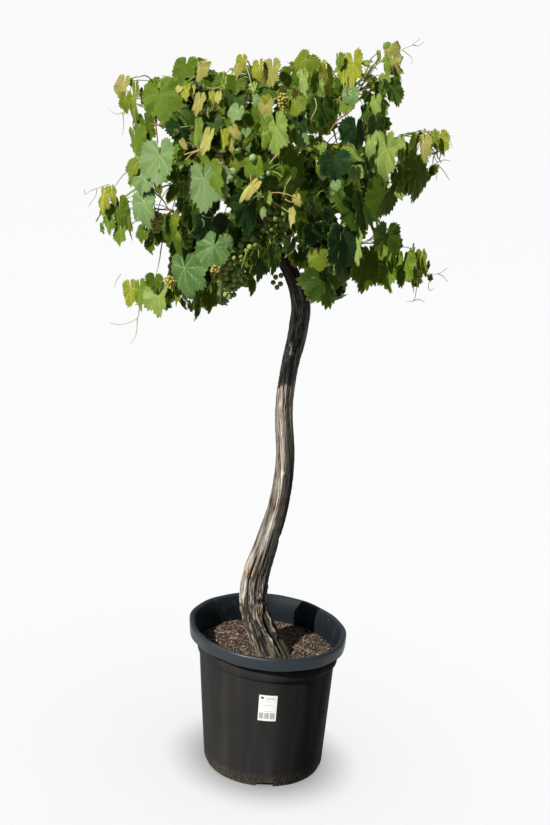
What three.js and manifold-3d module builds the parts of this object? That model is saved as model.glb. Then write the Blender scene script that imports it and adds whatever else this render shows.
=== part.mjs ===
// Grapevine grown as a standard in a nursery pot: pot, sticker, soil, trunk, boughs and foliage.
// Millimetres, +Z up. The origin is the middle of the pot's underside, and -Y is the front.
import * as THREE from 'three';
import { mergeVertices } from 'three/addons/utils/BufferGeometryUtils.js';
import Module from 'manifold-3d';

const wasm = await Module();
wasm.setup();

// ---- driving dimensions ----
const GAP = 0.3;                  // clearance between pieces that touch

const POT_HEIGHT = 399;
const POT_SIDES = 30;
const POT_WALL = 4;
const BASE_RADIUS = 163.6;
const BASE_THICK = 17;            // floor of the pot, deep enough for the drain notches
const SHOULDER_LOW = 322;         // where the wall steps out into the shoulder
const SHOULDER_STEP = 4;
const SHOULDER_HIGH = 365;        // where the rim begins
const WALL_TOP_RADIUS = 188.5;
const SHOULDER_RADIUS = 195;
const RIM_RADIUS = 218.5;
const CREST_RADIUS = 213.5;
const LIP_RADIUS = 204;
const OVAL = 0.05;                // the rim is pulled slightly oval by handling
const OVAL_ANGLE = -55 * Math.PI / 180;
const RIM_SHIFT = -14;            // and it leans a little to the left of the base

const NOTCH = { width: 45, height: 12, depth: 14 };
const LABEL = { width: 47, height: 76, thick: 0.6, across: 3, middle: 243 };

const SOIL_AT_WALL = 328;
const SOIL_LEVEL = 334;
const SOIL_PAD_RADIUS = 84;       // level patch that the trunk stands on

// The trunk's centre line and radius, from the flat cut at the soil up to the woody head.
const TRUNK_SIDES = 15;
const TRUNK_RINGS = 24;
const TRUNK = [
  { at: [2, -4, SOIL_LEVEL + GAP], r: 52 },
  { at: [-27, -6, 358], r: 45 },
  { at: [-58, -10, 440], r: 40 },
  { at: [-57, -6, 525], r: 38 },
  { at: [-34, 2, 628], r: 31 },
  { at: [-9, 8, 735], r: 27.5 },
  { at: [0, 8, 860], r: 25 },
  { at: [-13, 2, 1000], r: 24 },
  { at: [-8, -4, 1110], r: 23 },
  { at: [7, -6, 1215], r: 25 },
  { at: [9, -4, 1285], r: 25 },
  { at: [-20, 0, 1357], r: 20.5 },
  { at: [-54, 2, 1404], r: 19 },
  { at: [-88, 4, 1432], r: 23 },
  { at: [-100, 4, 1440], r: 14 },
];
const FOOT_LOBES = { count: 5, depth: 0.16, height: 150 };   // ropy buttresses of the flare
const TWIST = 0.004;                                         // turn of the strands per mm

// Boughs: each leaves the head and tapers to where it enters its mass.
const BOUGH_SIDES = 7;
const BOUGH_RINGS = 4;
const BOUGH_START = 15;           // how far from the middle of the head a bough begins
const HEAD = [-86, 4, 1432];
const BOUGHS = [
  { name: 'bough_left', mid: [-190, 10, 1470], end: [-292, 0, 1490], r: [15, 9] },
  { name: 'bough_up_left', mid: [-130, 20, 1530], end: [-200, 40, 1640], r: [14, 8] },
  { name: 'bough_up', mid: [-88, 30, 1540], end: [-70, 40, 1660], r: [13, 8] },
  { name: 'bough_right', mid: [0, 20, 1490], end: [92, 10, 1540], r: [15, 9] },
  { name: 'bough_front', mid: [-90, -60, 1480], end: [-100, -140, 1530], r: [12, 8] },
  { name: 'bough_back', mid: [-110, 90, 1480], end: [-120, 175, 1530], r: [13, 8] },
];

// Long shoots: each carries a mass that stands out from the crown.
const SHOOTS = [
  { name: 'shoot_left', from: [-395, -20, 1560], mid: [-430, -22, 1540], end: [-462, -28, 1510], r: [4, 3] },
  { name: 'shoot_bottom_left', from: [-275, -60, 1350], mid: [-310, -52, 1332], end: [-345, -42, 1300], r: [4, 3] },
  { name: 'shoot_top_right', from: [100, -10, 1790], mid: [134, -6, 1818], end: [172, 0, 1858], r: [4, 3] },
  { name: 'shoot_top_left', from: [-370, -30, 1730], mid: [-402, -26, 1742], end: [-436, -22, 1752], r: [4, 3] },
  { name: 'shoot_right', from: [200, -10, 1640], mid: [240, -6, 1656], end: [280, 0, 1672], r: [4, 3] },
  { name: 'shoot_bottom_right', from: [205, 2, 1420], mid: [236, 6, 1414], end: [268, 10, 1404], r: [4, 3] },
];
const SHOOT_SIDES = 5;
const SHOOT_RINGS = 2;

// Masses of foliage: middle and half sizes. The seed of each uneven surface is its place in the list.
const UNEVEN = 0.2;
const SQUARENESS = 2.4;           // 2 is a plain ball, and more fills out towards a box
const SMALL = 77;                 // a mass narrower than this has fewer facets
const MASSES = [
  { name: 'mass_centre', at: [-92, -205, 1628], half: [108, 125, 125] },
  { name: 'mass_centre_left', at: [-250, -150, 1625], half: [98, 130, 120] },
  { name: 'mass_centre_right', at: [62, -150, 1632], half: [98, 130, 125] },
  { name: 'mass_left', at: [-368, -10, 1562], half: [78, 135, 116] },
  { name: 'mass_left_tip', at: [-478, -30, 1486], half: [42, 60, 72] },
  { name: 'mass_right', at: [178, -20, 1628], half: [76, 130, 108] },
  { name: 'mass_right_tip', at: [292, 0, 1674], half: [52, 60, 76] },
  { name: 'mass_upper_left', at: [-346, -50, 1757], half: [74, 125, 84] },
  { name: 'mass_top_left_tip', at: [-450, -20, 1762], half: [33, 48, 58] },
  { name: 'mass_left_shoulder', at: [-410, 20, 1684], half: [46, 70, 62] },
  { name: 'mass_top_left', at: [-280, 60, 1800], half: [56, 115, 74] },
  { name: 'mass_top_centre', at: [-170, -40, 1782], half: [84, 150, 96] },
  { name: 'mass_top_right_centre', at: [-28, 0, 1802], half: [80, 150, 96] },
  { name: 'mass_upper_right', at: [84, -30, 1814], half: [64, 120, 100] },
  { name: 'mass_top_right_tip', at: [181, 0, 1866], half: [34, 50, 80] },
  { name: 'mass_right_upper', at: [144, 50, 1755], half: [52, 90, 74] },
  { name: 'mass_lower_left', at: [-304, -40, 1446], half: [84, 125, 84] },
  { name: 'mass_bottom_left', at: [-240, -70, 1334], half: [76, 95, 88] },
  { name: 'mass_bottom_left_tip', at: [-380, -40, 1288], half: [74, 50, 50] },
  { name: 'mass_bottom_centre', at: [-152, -110, 1405], half: [70, 85, 90] },
  { name: 'mass_low_right', at: [40, -90, 1465], half: [84, 120, 88] },
  { name: 'mass_bottom_right', at: [60, -66, 1368], half: [56, 80, 72] },
  { name: 'mass_bottom_right_shoulder', at: [180, 0, 1422], half: [78, 100, 80] },
  { name: 'mass_bottom_right_tip', at: [284, 14, 1396], half: [52, 52, 54] },
  { name: 'mass_back_top_left', at: [-250, 225, 1732], half: [122, 115, 112] },
  { name: 'mass_back_top_right', at: [-16, 230, 1745], half: [122, 115, 118] },
  { name: 'mass_back_left', at: [-262, 210, 1530], half: [122, 120, 112] },
  { name: 'mass_back_right', at: [20, 215, 1535], half: [132, 120, 112] },
  { name: 'mass_back_low', at: [-112, 195, 1400], half: [110, 95, 80] },
];

// ---- colours ----
const POT_COLOUR = 0x343536;
const SOIL_COLOUR = 0x5a4636;
const LABEL_COLOUR = 0xf0f1ee;
const BARK_COLOUR = 0x8a7f70;
const CANE_COLOUR = 0x6b4f36;
const LEAF_COLOURS = [0x47702f, 0x5d8a3a, 0x35592b, 0x7d9c3c];

// ---- solids ----
function solid(geometry) {
  const bare = geometry.index ? geometry.clone() : geometry;
  bare.deleteAttribute('normal');
  bare.deleteAttribute('uv');
  const merged = mergeVertices(bare, 1e-4);
  return new wasm.Manifold(new wasm.Mesh({
    numProp: 3,
    vertProperties: new Float32Array(merged.attributes.position.array),
    triVerts: new Uint32Array(merged.index.array),
  }));
}

function geometryOf(body) {
  const mesh = body.getMesh();
  const geometry = new THREE.BufferGeometry();
  const at = new Float32Array(mesh.numVert * 3);
  for (let i = 0; i < mesh.numVert; i += 1) {
    for (let k = 0; k < 3; k += 1) at[3 * i + k] = mesh.vertProperties[mesh.numProp * i + k];
  }
  geometry.setAttribute('position', new THREE.BufferAttribute(at, 3));
  geometry.setIndex(new THREE.BufferAttribute(new Uint32Array(mesh.triVerts), 1));
  geometry.computeVertexNormals();
  return geometry;
}

function largest(body) {
  const pieces = body.decompose();
  return pieces.reduce((best, piece) => (piece.volume() > best.volume() ? piece : best));
}

// ---- the pot's own shape ----
// The pot was turned round, then pulled oval and over to one side as it was filled and carried.
function handled(x, y, z) {
  const up = Math.max(0, z / POT_HEIGHT);
  const angle = Math.atan2(y, x);
  const stretch = 1 + OVAL * up ** 1.5 * Math.cos(2 * (angle - OVAL_ANGLE));
  return [x * stretch + RIM_SHIFT * up, y * stretch, z];
}

// A profile that runs down the outside turns its faces inward, so they are turned back. Each facet
// of it is then split along the same diagonal as the pot's inner wall, which it lies against.
function handledLathe(profile, runsDown = false) {
  const points = profile.map(([r, z]) => new THREE.Vector2(r, z));
  const geometry = new THREE.LatheGeometry(points, POT_SIDES);
  if (runsDown) geometry.index.array.reverse();
  geometry.rotateX(Math.PI / 2);
  const place = geometry.attributes.position;
  for (let i = 0; i < place.count; i += 1) {
    const z = place.getZ(i);
    place.setXYZ(i, ...handled(place.getX(i), place.getY(i), z));
  }
  return geometry;
}

function wallRadius(z) {
  return BASE_RADIUS + (WALL_TOP_RADIUS - BASE_RADIUS) * z / SHOULDER_LOW;
}

function makePot() {
  const inner = (z) => wallRadius(z) - POT_WALL;
  const body = solid(handledLathe([
    [0, 0],
    [BASE_RADIUS, 0],
    [WALL_TOP_RADIUS, SHOULDER_LOW],
    [SHOULDER_RADIUS - 1, SHOULDER_LOW + SHOULDER_STEP],
    [SHOULDER_RADIUS, SHOULDER_HIGH],
    [RIM_RADIUS - 1.5, SHOULDER_HIGH],
    [RIM_RADIUS, POT_HEIGHT - 6],
    [CREST_RADIUS, POT_HEIGHT],
    [LIP_RADIUS, POT_HEIGHT - 3],
    [SHOULDER_RADIUS - POT_WALL, SHOULDER_HIGH + 4],
    [SHOULDER_RADIUS - POT_WALL - 1, SHOULDER_LOW + SHOULDER_STEP],
    [inner(SHOULDER_LOW), SHOULDER_LOW],
    [inner(BASE_THICK), BASE_THICK],
    [0, BASE_THICK],
  ]));
  let cut = body;
  for (let quarter = 0; quarter < 4; quarter += 1) {
    const box = new THREE.BoxGeometry(2 * NOTCH.depth, NOTCH.width, 2 * NOTCH.height);
    box.translate(BASE_RADIUS, 0, 0);
    box.rotateZ(quarter * Math.PI / 2);
    cut = cut.subtract(solid(box));
  }
  return geometryOf(cut);
}

function makeSoil() {
  const inner = (z) => wallRadius(z) - POT_WALL - GAP;
  const edge = SHOULDER_RADIUS - POT_WALL - 1 - GAP;
  const low = BASE_THICK + GAP;
  return handledLathe([
    [0, SOIL_LEVEL],
    [SOIL_PAD_RADIUS, SOIL_LEVEL],
    [SOIL_PAD_RADIUS + 55, SOIL_AT_WALL + 2],
    [edge, SOIL_AT_WALL],
    [edge, SHOULDER_LOW + SHOULDER_STEP + GAP],
    [inner(SHOULDER_LOW), SHOULDER_LOW + GAP],
    [inner(low), low],
    [0, low],
  ], true);
}

// The sticker is a window cut out of a thin sleeve that lies round the wall.
function makeLabel() {
  const drum = (off) => solid(handledLathe([
    [0, 0],
    [BASE_RADIUS + off, 0],
    [WALL_TOP_RADIUS + off, SHOULDER_LOW],
    [0, SHOULDER_LOW],
  ]));
  const window = new THREE.BoxGeometry(LABEL.width, BASE_RADIUS, LABEL.height);
  window.translate(LABEL.across, -BASE_RADIUS, LABEL.middle);
  const sleeve = drum(GAP + LABEL.thick).subtract(drum(GAP));
  return geometryOf(sleeve.intersect(solid(window)));
}

// ---- limbs: closed tubes of changing radius along a smooth line ----
function limb({ points, radii, sides, rings, section, grow = 0, flatFoot = false }) {
  const curve = new THREE.CatmullRomCurve3(points.map((p) => new THREE.Vector3(...p)));
  const count = points.length - 1;
  const vertices = [];
  const faces = [];
  let across = new THREE.Vector3(1, 0, 0);
  for (let j = 0; j <= rings; j += 1) {
    const t = j / rings;
    const centre = curve.getPoint(t);
    const along = curve.getTangent(t);
    if (flatFoot) along.lerp(new THREE.Vector3(0, 0, 1), Math.max(0, 1 - 4 * t)).normalize();
    if (j === 0) centre.addScaledVector(along, -grow);
    if (j === rings) centre.addScaledVector(along, grow);
    const side = new THREE.Vector3().crossVectors(along, across).normalize();
    across = new THREE.Vector3().crossVectors(side, along).normalize();
    const place = t * count;
    const low = Math.min(Math.floor(place), count - 1);
    const radius = radii[low] + (radii[low + 1] - radii[low]) * (place - low);
    for (let i = 0; i < sides; i += 1) {
      const angle = 2 * Math.PI * i / sides;
      const r = radius * (section ? section(angle, centre.z) : 1) + grow;
      const point = centre.clone();
      point.addScaledVector(across, r * Math.cos(angle)).addScaledVector(side, r * Math.sin(angle));
      if (flatFoot && j === 0) point.z = centre.z;
      vertices.push(point.x, point.y, point.z);
    }
  }
  for (let j = 0; j < rings; j += 1) {
    for (let i = 0; i < sides; i += 1) {
      const a = j * sides + i;
      const b = j * sides + (i + 1) % sides;
      faces.push(a, b, b + sides, a, b + sides, a + sides);
    }
  }
  for (const j of [0, rings]) {
    const t = j / rings;
    const out = flatFoot && !t ? new THREE.Vector3(0, 0, 1) : curve.getTangent(t);
    const centre = curve.getPoint(t).addScaledVector(out, t ? grow : -grow);
    const hub = vertices.length / 3;
    vertices.push(centre.x, centre.y, centre.z);
    for (let i = 0; i < sides; i += 1) {
      const a = j * sides + i;
      const b = j * sides + (i + 1) % sides;
      faces.push(...(t ? [hub, a, b] : [hub, b, a]));
    }
  }
  const geometry = new THREE.BufferGeometry();
  geometry.setAttribute('position', new THREE.Float32BufferAttribute(vertices, 3));
  geometry.setIndex(faces);
  return geometry;
}

function trunkSection(angle, z) {
  const above = (z - SOIL_LEVEL) / FOOT_LOBES.height;
  const lobes = FOOT_LOBES.depth * Math.exp(-above) + 0.045;
  return 1 + lobes * Math.cos(FOOT_LOBES.count * angle + TWIST * (z - SOIL_LEVEL));
}

function makeTrunk(grow) {
  return limb({
    points: TRUNK.map((knot) => knot.at),
    radii: TRUNK.map((knot) => knot.r),
    sides: TRUNK_SIDES,
    rings: TRUNK_RINGS,
    section: trunkSection,
    flatFoot: true,
    grow,
  });
}

function makeBranch({ from, mid, end, r }, grow) {
  const isBough = !from;
  const head = new THREE.Vector3(...HEAD);
  const outward = new THREE.Vector3(...mid).sub(head).setLength(BOUGH_START);
  const start = isBough ? head.add(outward).toArray() : from;
  return limb({
    points: [start, mid, end],
    radii: [r[0], (r[0] + r[1]) / 2, r[1]],
    sides: isBough ? BOUGH_SIDES : SHOOT_SIDES,
    rings: isBough ? BOUGH_RINGS : SHOOT_RINGS,
    grow,
  });
}

// ---- foliage: a ball stretched to its half sizes, its surface pushed in and out by soft waves ----
function makeMass({ at, half }, seed, grow) {
  const geometry = new THREE.IcosahedronGeometry(1, Math.min(...half) < SMALL ? 1 : 2);
  const place = geometry.attributes.position;
  for (let i = 0; i < place.count; i += 1) {
    const d = new THREE.Vector3().fromBufferAttribute(place, i).normalize();
    const sum = ['x', 'y', 'z'].reduce((total, k) => total + Math.abs(d[k]) ** SQUARENESS, 0);
    const wave = Math.sin(3.1 * d.x + 1.7 * seed) * Math.cos(2.7 * d.y - 2.3 * seed)
      + 0.8 * Math.sin(5.3 * d.z + 0.9 * seed + 2 * d.x) + 0.7 * Math.cos(7.9 * d.y + 3.1 * seed - d.z);
    const reach = sum ** (-1 / SQUARENESS) * (1 + UNEVEN * wave / 2.5);
    place.setXYZ(i,
      at[0] + d.x * (half[0] * reach + grow),
      at[1] + d.y * (half[1] * reach + grow),
      at[2] + d.z * (half[2] * reach + grow));
  }
  return geometry;
}

// ---- assembly ----
const vine = new THREE.Group();

function add(name, geometry, colour, roughness) {
  const material = new THREE.MeshStandardMaterial({ color: colour, roughness, metalness: 0 });
  const mesh = new THREE.Mesh(geometry, material);
  mesh.name = name;
  vine.add(mesh);
}

add('pot', makePot(), POT_COLOUR, 0.45);
add('soil', makeSoil(), SOIL_COLOUR, 0.95);
add('label', makeLabel(), LABEL_COLOUR, 0.6);
add('trunk', makeTrunk(0), BARK_COLOUR, 0.85);

// Each bough is cut clear of the trunk's head and of the boughs beside it.
const limbsGrown = [solid(makeTrunk(GAP))];
for (const branch of [...BOUGHS, ...SHOOTS]) {
  let body = solid(makeBranch(branch, 0));
  for (const other of limbsGrown) body = body.subtract(other);
  add(branch.name, geometryOf(largest(body)), CANE_COLOUR, 0.8);
  limbsGrown.push(solid(makeBranch(branch, GAP)));
}

// Each mass is cut clear of the limbs and of the masses that were grown before it.
const massesGrown = [];
MASSES.forEach((mass, index) => {
  const seed = index + 1;
  let body = solid(makeMass(mass, seed, 0));
  for (const other of [...limbsGrown, ...massesGrown]) body = body.subtract(other);
  add(mass.name, geometryOf(largest(body)), LEAF_COLOURS[index % LEAF_COLOURS.length], 0.7);
  massesGrown.push(solid(makeMass(mass, seed, GAP)));
});

export default vine;
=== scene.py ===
import math
import random

import bpy
import numpy as np
from mathutils import Matrix, Vector, noise


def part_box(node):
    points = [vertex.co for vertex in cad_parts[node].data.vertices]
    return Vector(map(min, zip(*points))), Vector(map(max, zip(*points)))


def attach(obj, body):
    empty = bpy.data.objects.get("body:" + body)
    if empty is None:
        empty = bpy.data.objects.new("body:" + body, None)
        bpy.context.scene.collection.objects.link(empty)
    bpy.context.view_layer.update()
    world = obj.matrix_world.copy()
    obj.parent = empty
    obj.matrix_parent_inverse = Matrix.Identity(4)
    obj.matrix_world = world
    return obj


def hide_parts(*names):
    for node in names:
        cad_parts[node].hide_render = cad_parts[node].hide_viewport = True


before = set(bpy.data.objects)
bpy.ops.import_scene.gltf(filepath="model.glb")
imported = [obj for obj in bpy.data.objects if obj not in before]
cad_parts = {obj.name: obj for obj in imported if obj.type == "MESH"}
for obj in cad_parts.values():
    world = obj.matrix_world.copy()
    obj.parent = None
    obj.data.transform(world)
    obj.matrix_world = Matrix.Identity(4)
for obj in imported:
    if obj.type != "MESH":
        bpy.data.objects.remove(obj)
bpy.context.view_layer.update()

# ---- studio ----
# A wide pale floor under a soft white sky, with one warm key light from the upper left. The key
# lights only the plant and its pot; two lamps overhead light the floor, and one of them leans to
# the left and is stopped by the pot, so that it leaves a soft contact shadow.
CAMERA_PLACE = (0.0, -3.17, 1.784)
CAMERA_DOWN = math.radians(14)
CAMERA_TURN = math.radians(0.65)
CAMERA_ROLL = math.radians(4.2)
CAMERA_LENS = 54.545
KEY_ELEVATION = math.radians(38.5)
KEY_TURN = math.radians(-43)          # from the front towards the left
KEY_STRENGTH = 5.9
KEY_SPREAD = math.radians(0.8)
KEY_COLOUR = "#fff9f0"
FLOOR_RADIUS = 60.0
FLOOR_SIDES = 96
FLOOR_LAMP_STRENGTH = 1.18
FLOOR_LAMP_SPREAD = math.radians(60)
SHADOW_LAMP_STRENGTH = 1.40
SHADOW_LAMP_SPREAD = math.radians(20)
SHADOW_LAMP_LEAN = math.radians(-1.5)
SKY_FILL = 0.295                      # the light that the sky gives the plant
SKY_SEEN = 0.955                      # and how bright it looks itself


def linear(colour):
    """The linear RGBA of an sRGB hex colour."""
    channels = [int(colour[i:i + 2], 16) / 255 for i in (1, 3, 5)]
    bent = [c / 12.92 if c <= 0.04045 else ((c + 0.055) / 1.055) ** 2.4 for c in channels]
    return (*bent, 1.0)


def add_node(tree, kind, values=None, links=None, **settings):
    """Adds a node, sets its properties, fills its sockets and links them."""
    made = tree.nodes.new(kind)
    for key, value in settings.items():
        setattr(made, key, value)
    for key, value in (values or {}).items():
        made.inputs[key].default_value = value
    for key, source in (links or {}).items():
        tree.links.new(source, made.inputs[key])
    return made


def new_material(name):
    """A material with an empty tree, its Principled shader and the object's own coordinates."""
    material = bpy.data.materials.new(name)
    material.use_nodes = True
    tree = material.node_tree
    tree.nodes.clear()
    shader = add_node(tree, "ShaderNodeBsdfPrincipled")
    add_node(tree, "ShaderNodeOutputMaterial", links={"Surface": shader.outputs["BSDF"]})
    place = add_node(tree, "ShaderNodeTexCoord").outputs["Object"]
    return material, tree, shader, place


def linked_collection(name):
    made = bpy.data.collections.new(name)
    bpy.context.scene.collection.children.link(made)
    return made


sunlit = linked_collection("sunlit")
ground = linked_collection("ground")
standing = linked_collection("standing")

bpy.context.scene.view_settings.view_transform = "Standard"

camera_data = bpy.data.cameras.new("camera")
camera_data.lens = CAMERA_LENS
camera = bpy.data.objects.new("camera", camera_data)
bpy.context.scene.collection.objects.link(camera)
camera.matrix_world = (
    Matrix.Translation(CAMERA_PLACE)
    @ Matrix.Rotation(CAMERA_TURN, 4, "Z")
    @ Matrix.Rotation(math.radians(90) - CAMERA_DOWN, 4, "X")
    @ Matrix.Rotation(CAMERA_ROLL, 4, "Z")
)
bpy.context.scene.camera = camera


def add_sun(name, strength, spread, matrix, receivers):
    data = bpy.data.lights.new(name, "SUN")
    data.energy = strength
    data.angle = spread
    lamp = bpy.data.objects.new(name, data)
    lamp.matrix_world = matrix
    bpy.context.scene.collection.objects.link(lamp)
    lamp.light_linking.receiver_collection = receivers
    return lamp


key_aim = Matrix.Rotation(KEY_TURN, 4, "Z") @ Matrix.Rotation(math.radians(90) - KEY_ELEVATION, 4, "X")
key = add_sun("key", KEY_STRENGTH, KEY_SPREAD, key_aim, sunlit)
key.data.color = linear(KEY_COLOUR)[:3]
straight_down = Matrix.Identity(4)
floor_lamp = add_sun("floor_lamp", FLOOR_LAMP_STRENGTH, FLOOR_LAMP_SPREAD, straight_down, ground)
floor_lamp.light_linking.blocker_collection = ground
shadow_aim = Matrix.Rotation(SHADOW_LAMP_LEAN, 4, "Y")
shadow_lamp = add_sun("shadow_lamp", SHADOW_LAMP_STRENGTH, SHADOW_LAMP_SPREAD, shadow_aim, ground)
shadow_lamp.light_linking.blocker_collection = standing

# Paper sweep: matt and nearly white, so it takes a shadow and no colour. It doesn't throw its
# light back up into the plant.
bpy.ops.object.select_all(action="DESELECT")
bpy.ops.mesh.primitive_circle_add(vertices=FLOOR_SIDES, radius=FLOOR_RADIUS, fill_type="NGON")
floor = bpy.context.object
floor.name = "floor"
floor.visible_diffuse = False
paper_sweep, tree, shader, place = new_material("paper_sweep")
shader.inputs["Base Color"].default_value = linear("#f4f4f4")
shader.inputs["Roughness"].default_value = 0.9
shader.inputs["Specular IOR Level"].default_value = 0.1
floor.data.materials.append(paper_sweep)
ground.objects.link(floor)

world = bpy.data.worlds.new("sky")
bpy.context.scene.world = world
world.use_nodes = True
tree = world.node_tree
tree.nodes.clear()
fill = add_node(tree, "ShaderNodeBackground", {"Color": linear("#f1f3f4"), "Strength": SKY_FILL})
seen = add_node(tree, "ShaderNodeBackground", {"Color": (1, 1, 1, 1), "Strength": SKY_SEEN})
path = add_node(tree, "ShaderNodeLightPath")
both = add_node(
    tree, "ShaderNodeMixShader",
    links={0: path.outputs["Is Camera Ray"], 1: fill.outputs[0], 2: seen.outputs[0]},
)
add_node(tree, "ShaderNodeOutputWorld", links={"Surface": both.outputs[0]})

# ---- nursery pot ----
# A round container of black polypropylene, injection moulded in one piece: a thin tapered wall, a
# stepped shoulder, a wide rolled rim and drain notches in its foot. Filling and carrying have
# pulled the rim slightly oval and over to the left.
MM = 0.001
POT_SIDES = 192
POT_HEIGHT = 399 * MM
POT_WALL = 4 * MM
BASE_RADIUS = 163.6 * MM
BASE_THICK = 17 * MM
WALL_TOP = 322 * MM
WALL_TOP_RADIUS = 188.5 * MM
WALL_STEPS = 22
SHOULDER_RADIUS = 195 * MM
SHOULDER_HIGH = 365 * MM
RIM_RADIUS = 218.5 * MM
CREST_RADIUS = 213.5 * MM
LIP_RADIUS = 204 * MM
OVAL = 0.05
OVAL_ANGLE = math.radians(-55)
RIM_SHIFT = -14 * MM
NOTCH_WIDTH = 45 * MM
NOTCH_HEIGHT = 14 * MM
NOTCH_TURN = math.radians(3.9)
NOTCH_DEPTH = 14 * MM
NOTCH_ROUND = 3 * MM
SHOULDER_BULGE = 5 * MM         # how far the shoulder has been pushed out on its front right
BULGE_ANGLE = -38               # degrees
BULGE_SPREAD = 48


def handled(x, y, z):
    """Pulls a point of the round pot to where handling has left it."""
    up = np.maximum(0, z / POT_HEIGHT)
    stretch = 1 + OVAL * up ** 1.5 * np.cos(2 * (np.arctan2(y, x) - OVAL_ANGLE))
    return x * stretch + RIM_SHIFT * up, y * stretch, z


def wall_radius(z):
    return BASE_RADIUS + (WALL_TOP_RADIUS - BASE_RADIUS) * z / WALL_TOP


def wall_flats(angle, z):
    """How much the wall's broad flats stretch its radius: most at the top of the wall."""
    wave = 0.7 * MM * np.sin(13 * angle + 1.2) + 0.6 * MM * np.sin(7 * angle + 0.4)
    return 1 + wave * np.clip(z / WALL_TOP, 0, 1) / BASE_RADIUS


def coordinates(piece):
    """The vertex places of a piece as an array of rows."""
    flat = np.empty(3 * len(piece.data.vertices))
    piece.data.vertices.foreach_get("co", flat)
    return flat.reshape(-1, 3)


def put_coordinates(piece, places):
    piece.data.vertices.foreach_set("co", np.ascontiguousarray(places, dtype=float).ravel())
    piece.data.update()


def select_only(piece):
    bpy.ops.object.select_all(action="DESELECT")
    piece.select_set(True)
    bpy.context.view_layer.objects.active = piece


def finish_piece(piece, nodes=()):
    """Lets a finished piece ride, hides the CAD nodes it stands for, and puts it in the sun."""
    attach(piece, "root")
    if nodes:
        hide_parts(*nodes)
    sunlit.objects.link(piece)


# Radius and height, from the foot up the outside, over the rim and down the inside.
wall_foot = (BASE_RADIUS + 1 * MM, 13 * MM)
pot_profile = [(BASE_RADIUS - 5 * MM, 0), (BASE_RADIUS - 4.5 * MM, 1.5 * MM), wall_foot]
pot_profile += [
    tuple(a + (b - a) * i / WALL_STEPS for a, b in zip(wall_foot, (WALL_TOP_RADIUS, WALL_TOP)))
    for i in range(1, WALL_STEPS + 1)
]
pot_profile += [
    (SHOULDER_RADIUS - 2.4 * MM, WALL_TOP + 2 * MM),
    (SHOULDER_RADIUS - 0.6 * MM, WALL_TOP + 7 * MM),
    (SHOULDER_RADIUS, WALL_TOP + 14 * MM),
    (SHOULDER_RADIUS, WALL_TOP + 24 * MM),
    (SHOULDER_RADIUS - 1.2 * MM, WALL_TOP + 34 * MM),
    (SHOULDER_RADIUS - 2 * MM, SHOULDER_HIGH - 1 * MM),
    (RIM_RADIUS - 4 * MM, SHOULDER_HIGH),
    (RIM_RADIUS - 2 * MM, SHOULDER_HIGH + 1.5 * MM),
    (RIM_RADIUS - 1 * MM, SHOULDER_HIGH + 12 * MM),
    (RIM_RADIUS - 0.3 * MM, POT_HEIGHT - 9 * MM),
    (RIM_RADIUS - 0.8 * MM, POT_HEIGHT - 4.5 * MM),
    (RIM_RADIUS - 2.4 * MM, POT_HEIGHT - 1.6 * MM),
    (CREST_RADIUS, POT_HEIGHT),
    (CREST_RADIUS - 4.5 * MM, POT_HEIGHT - 0.2 * MM),
    (LIP_RADIUS, POT_HEIGHT - 3 * MM),
    (LIP_RADIUS - 4 * MM, POT_HEIGHT - 9 * MM),
    (SHOULDER_RADIUS - POT_WALL, SHOULDER_HIGH + 4 * MM),
    (SHOULDER_RADIUS - POT_WALL - 0.6 * MM, SHOULDER_HIGH - 14 * MM),
    (SHOULDER_RADIUS - POT_WALL - 1 * MM, WALL_TOP + 4 * MM),
    (WALL_TOP_RADIUS - POT_WALL, WALL_TOP),
    (wall_radius(BASE_THICK) - POT_WALL, BASE_THICK),
]

bpy.ops.object.select_all(action="DESELECT")
bpy.ops.mesh.primitive_circle_add(vertices=POT_SIDES, radius=pot_profile[0][0], fill_type="NGON")
pot = bpy.context.object
pot.name = "nursery_pot"
bpy.ops.object.mode_set(mode="EDIT")
bpy.ops.mesh.select_all(action="SELECT")
for (r_before, z_before), (r, z) in zip(pot_profile, pot_profile[1:]):
    bpy.ops.mesh.extrude_region_move(TRANSFORM_OT_translate={"value": (0, 0, z - z_before)})
    bpy.ops.transform.resize(value=(r / r_before, r / r_before, 1), center_override=(0, 0, z))
bpy.ops.mesh.select_all(action="SELECT")
bpy.ops.mesh.normals_make_consistent(inside=False)
bpy.ops.object.mode_set(mode="OBJECT")

x, y, z = coordinates(pot).T
around = np.arctan2(y, x)
on_shoulder = np.exp(-((z - WALL_TOP - 18 * MM) / (19 * MM)) ** 4)
on_shoulder *= np.hypot(x, y) > WALL_TOP_RADIUS + 1 * MM
bulge = SHOULDER_BULGE * on_shoulder
bulge *= np.exp(-((np.degrees(around) - BULGE_ANGLE) / BULGE_SPREAD) ** 2)
push = wall_flats(around, z) + bulge / BASE_RADIUS
put_coordinates(pot, np.stack(handled(x * push, y * push, z), axis=1))

for quarter in range(4):
    turn = quarter * math.pi / 2 + NOTCH_TURN
    bpy.ops.object.select_all(action="DESELECT")
    bpy.ops.mesh.primitive_cube_add(
        size=1,
        location=(BASE_RADIUS * math.cos(turn), BASE_RADIUS * math.sin(turn), 0),
        rotation=(0, 0, turn),
        scale=(2 * NOTCH_DEPTH, NOTCH_WIDTH, 2 * NOTCH_HEIGHT),
    )
    cutter = bpy.context.object
    bpy.ops.object.mode_set(mode="EDIT")
    bpy.ops.mesh.bevel(offset=NOTCH_ROUND, segments=3, affect="EDGES")
    bpy.ops.object.mode_set(mode="OBJECT")
    select_only(pot)
    notch = pot.modifiers.new("notch", "BOOLEAN")
    notch.operation = "DIFFERENCE"
    notch.object = cutter
    bpy.ops.object.modifier_apply(modifier="notch")
    bpy.data.objects.remove(cutter)
select_only(pot)
bpy.ops.object.shade_smooth_by_angle(angle=math.radians(32))


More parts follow.
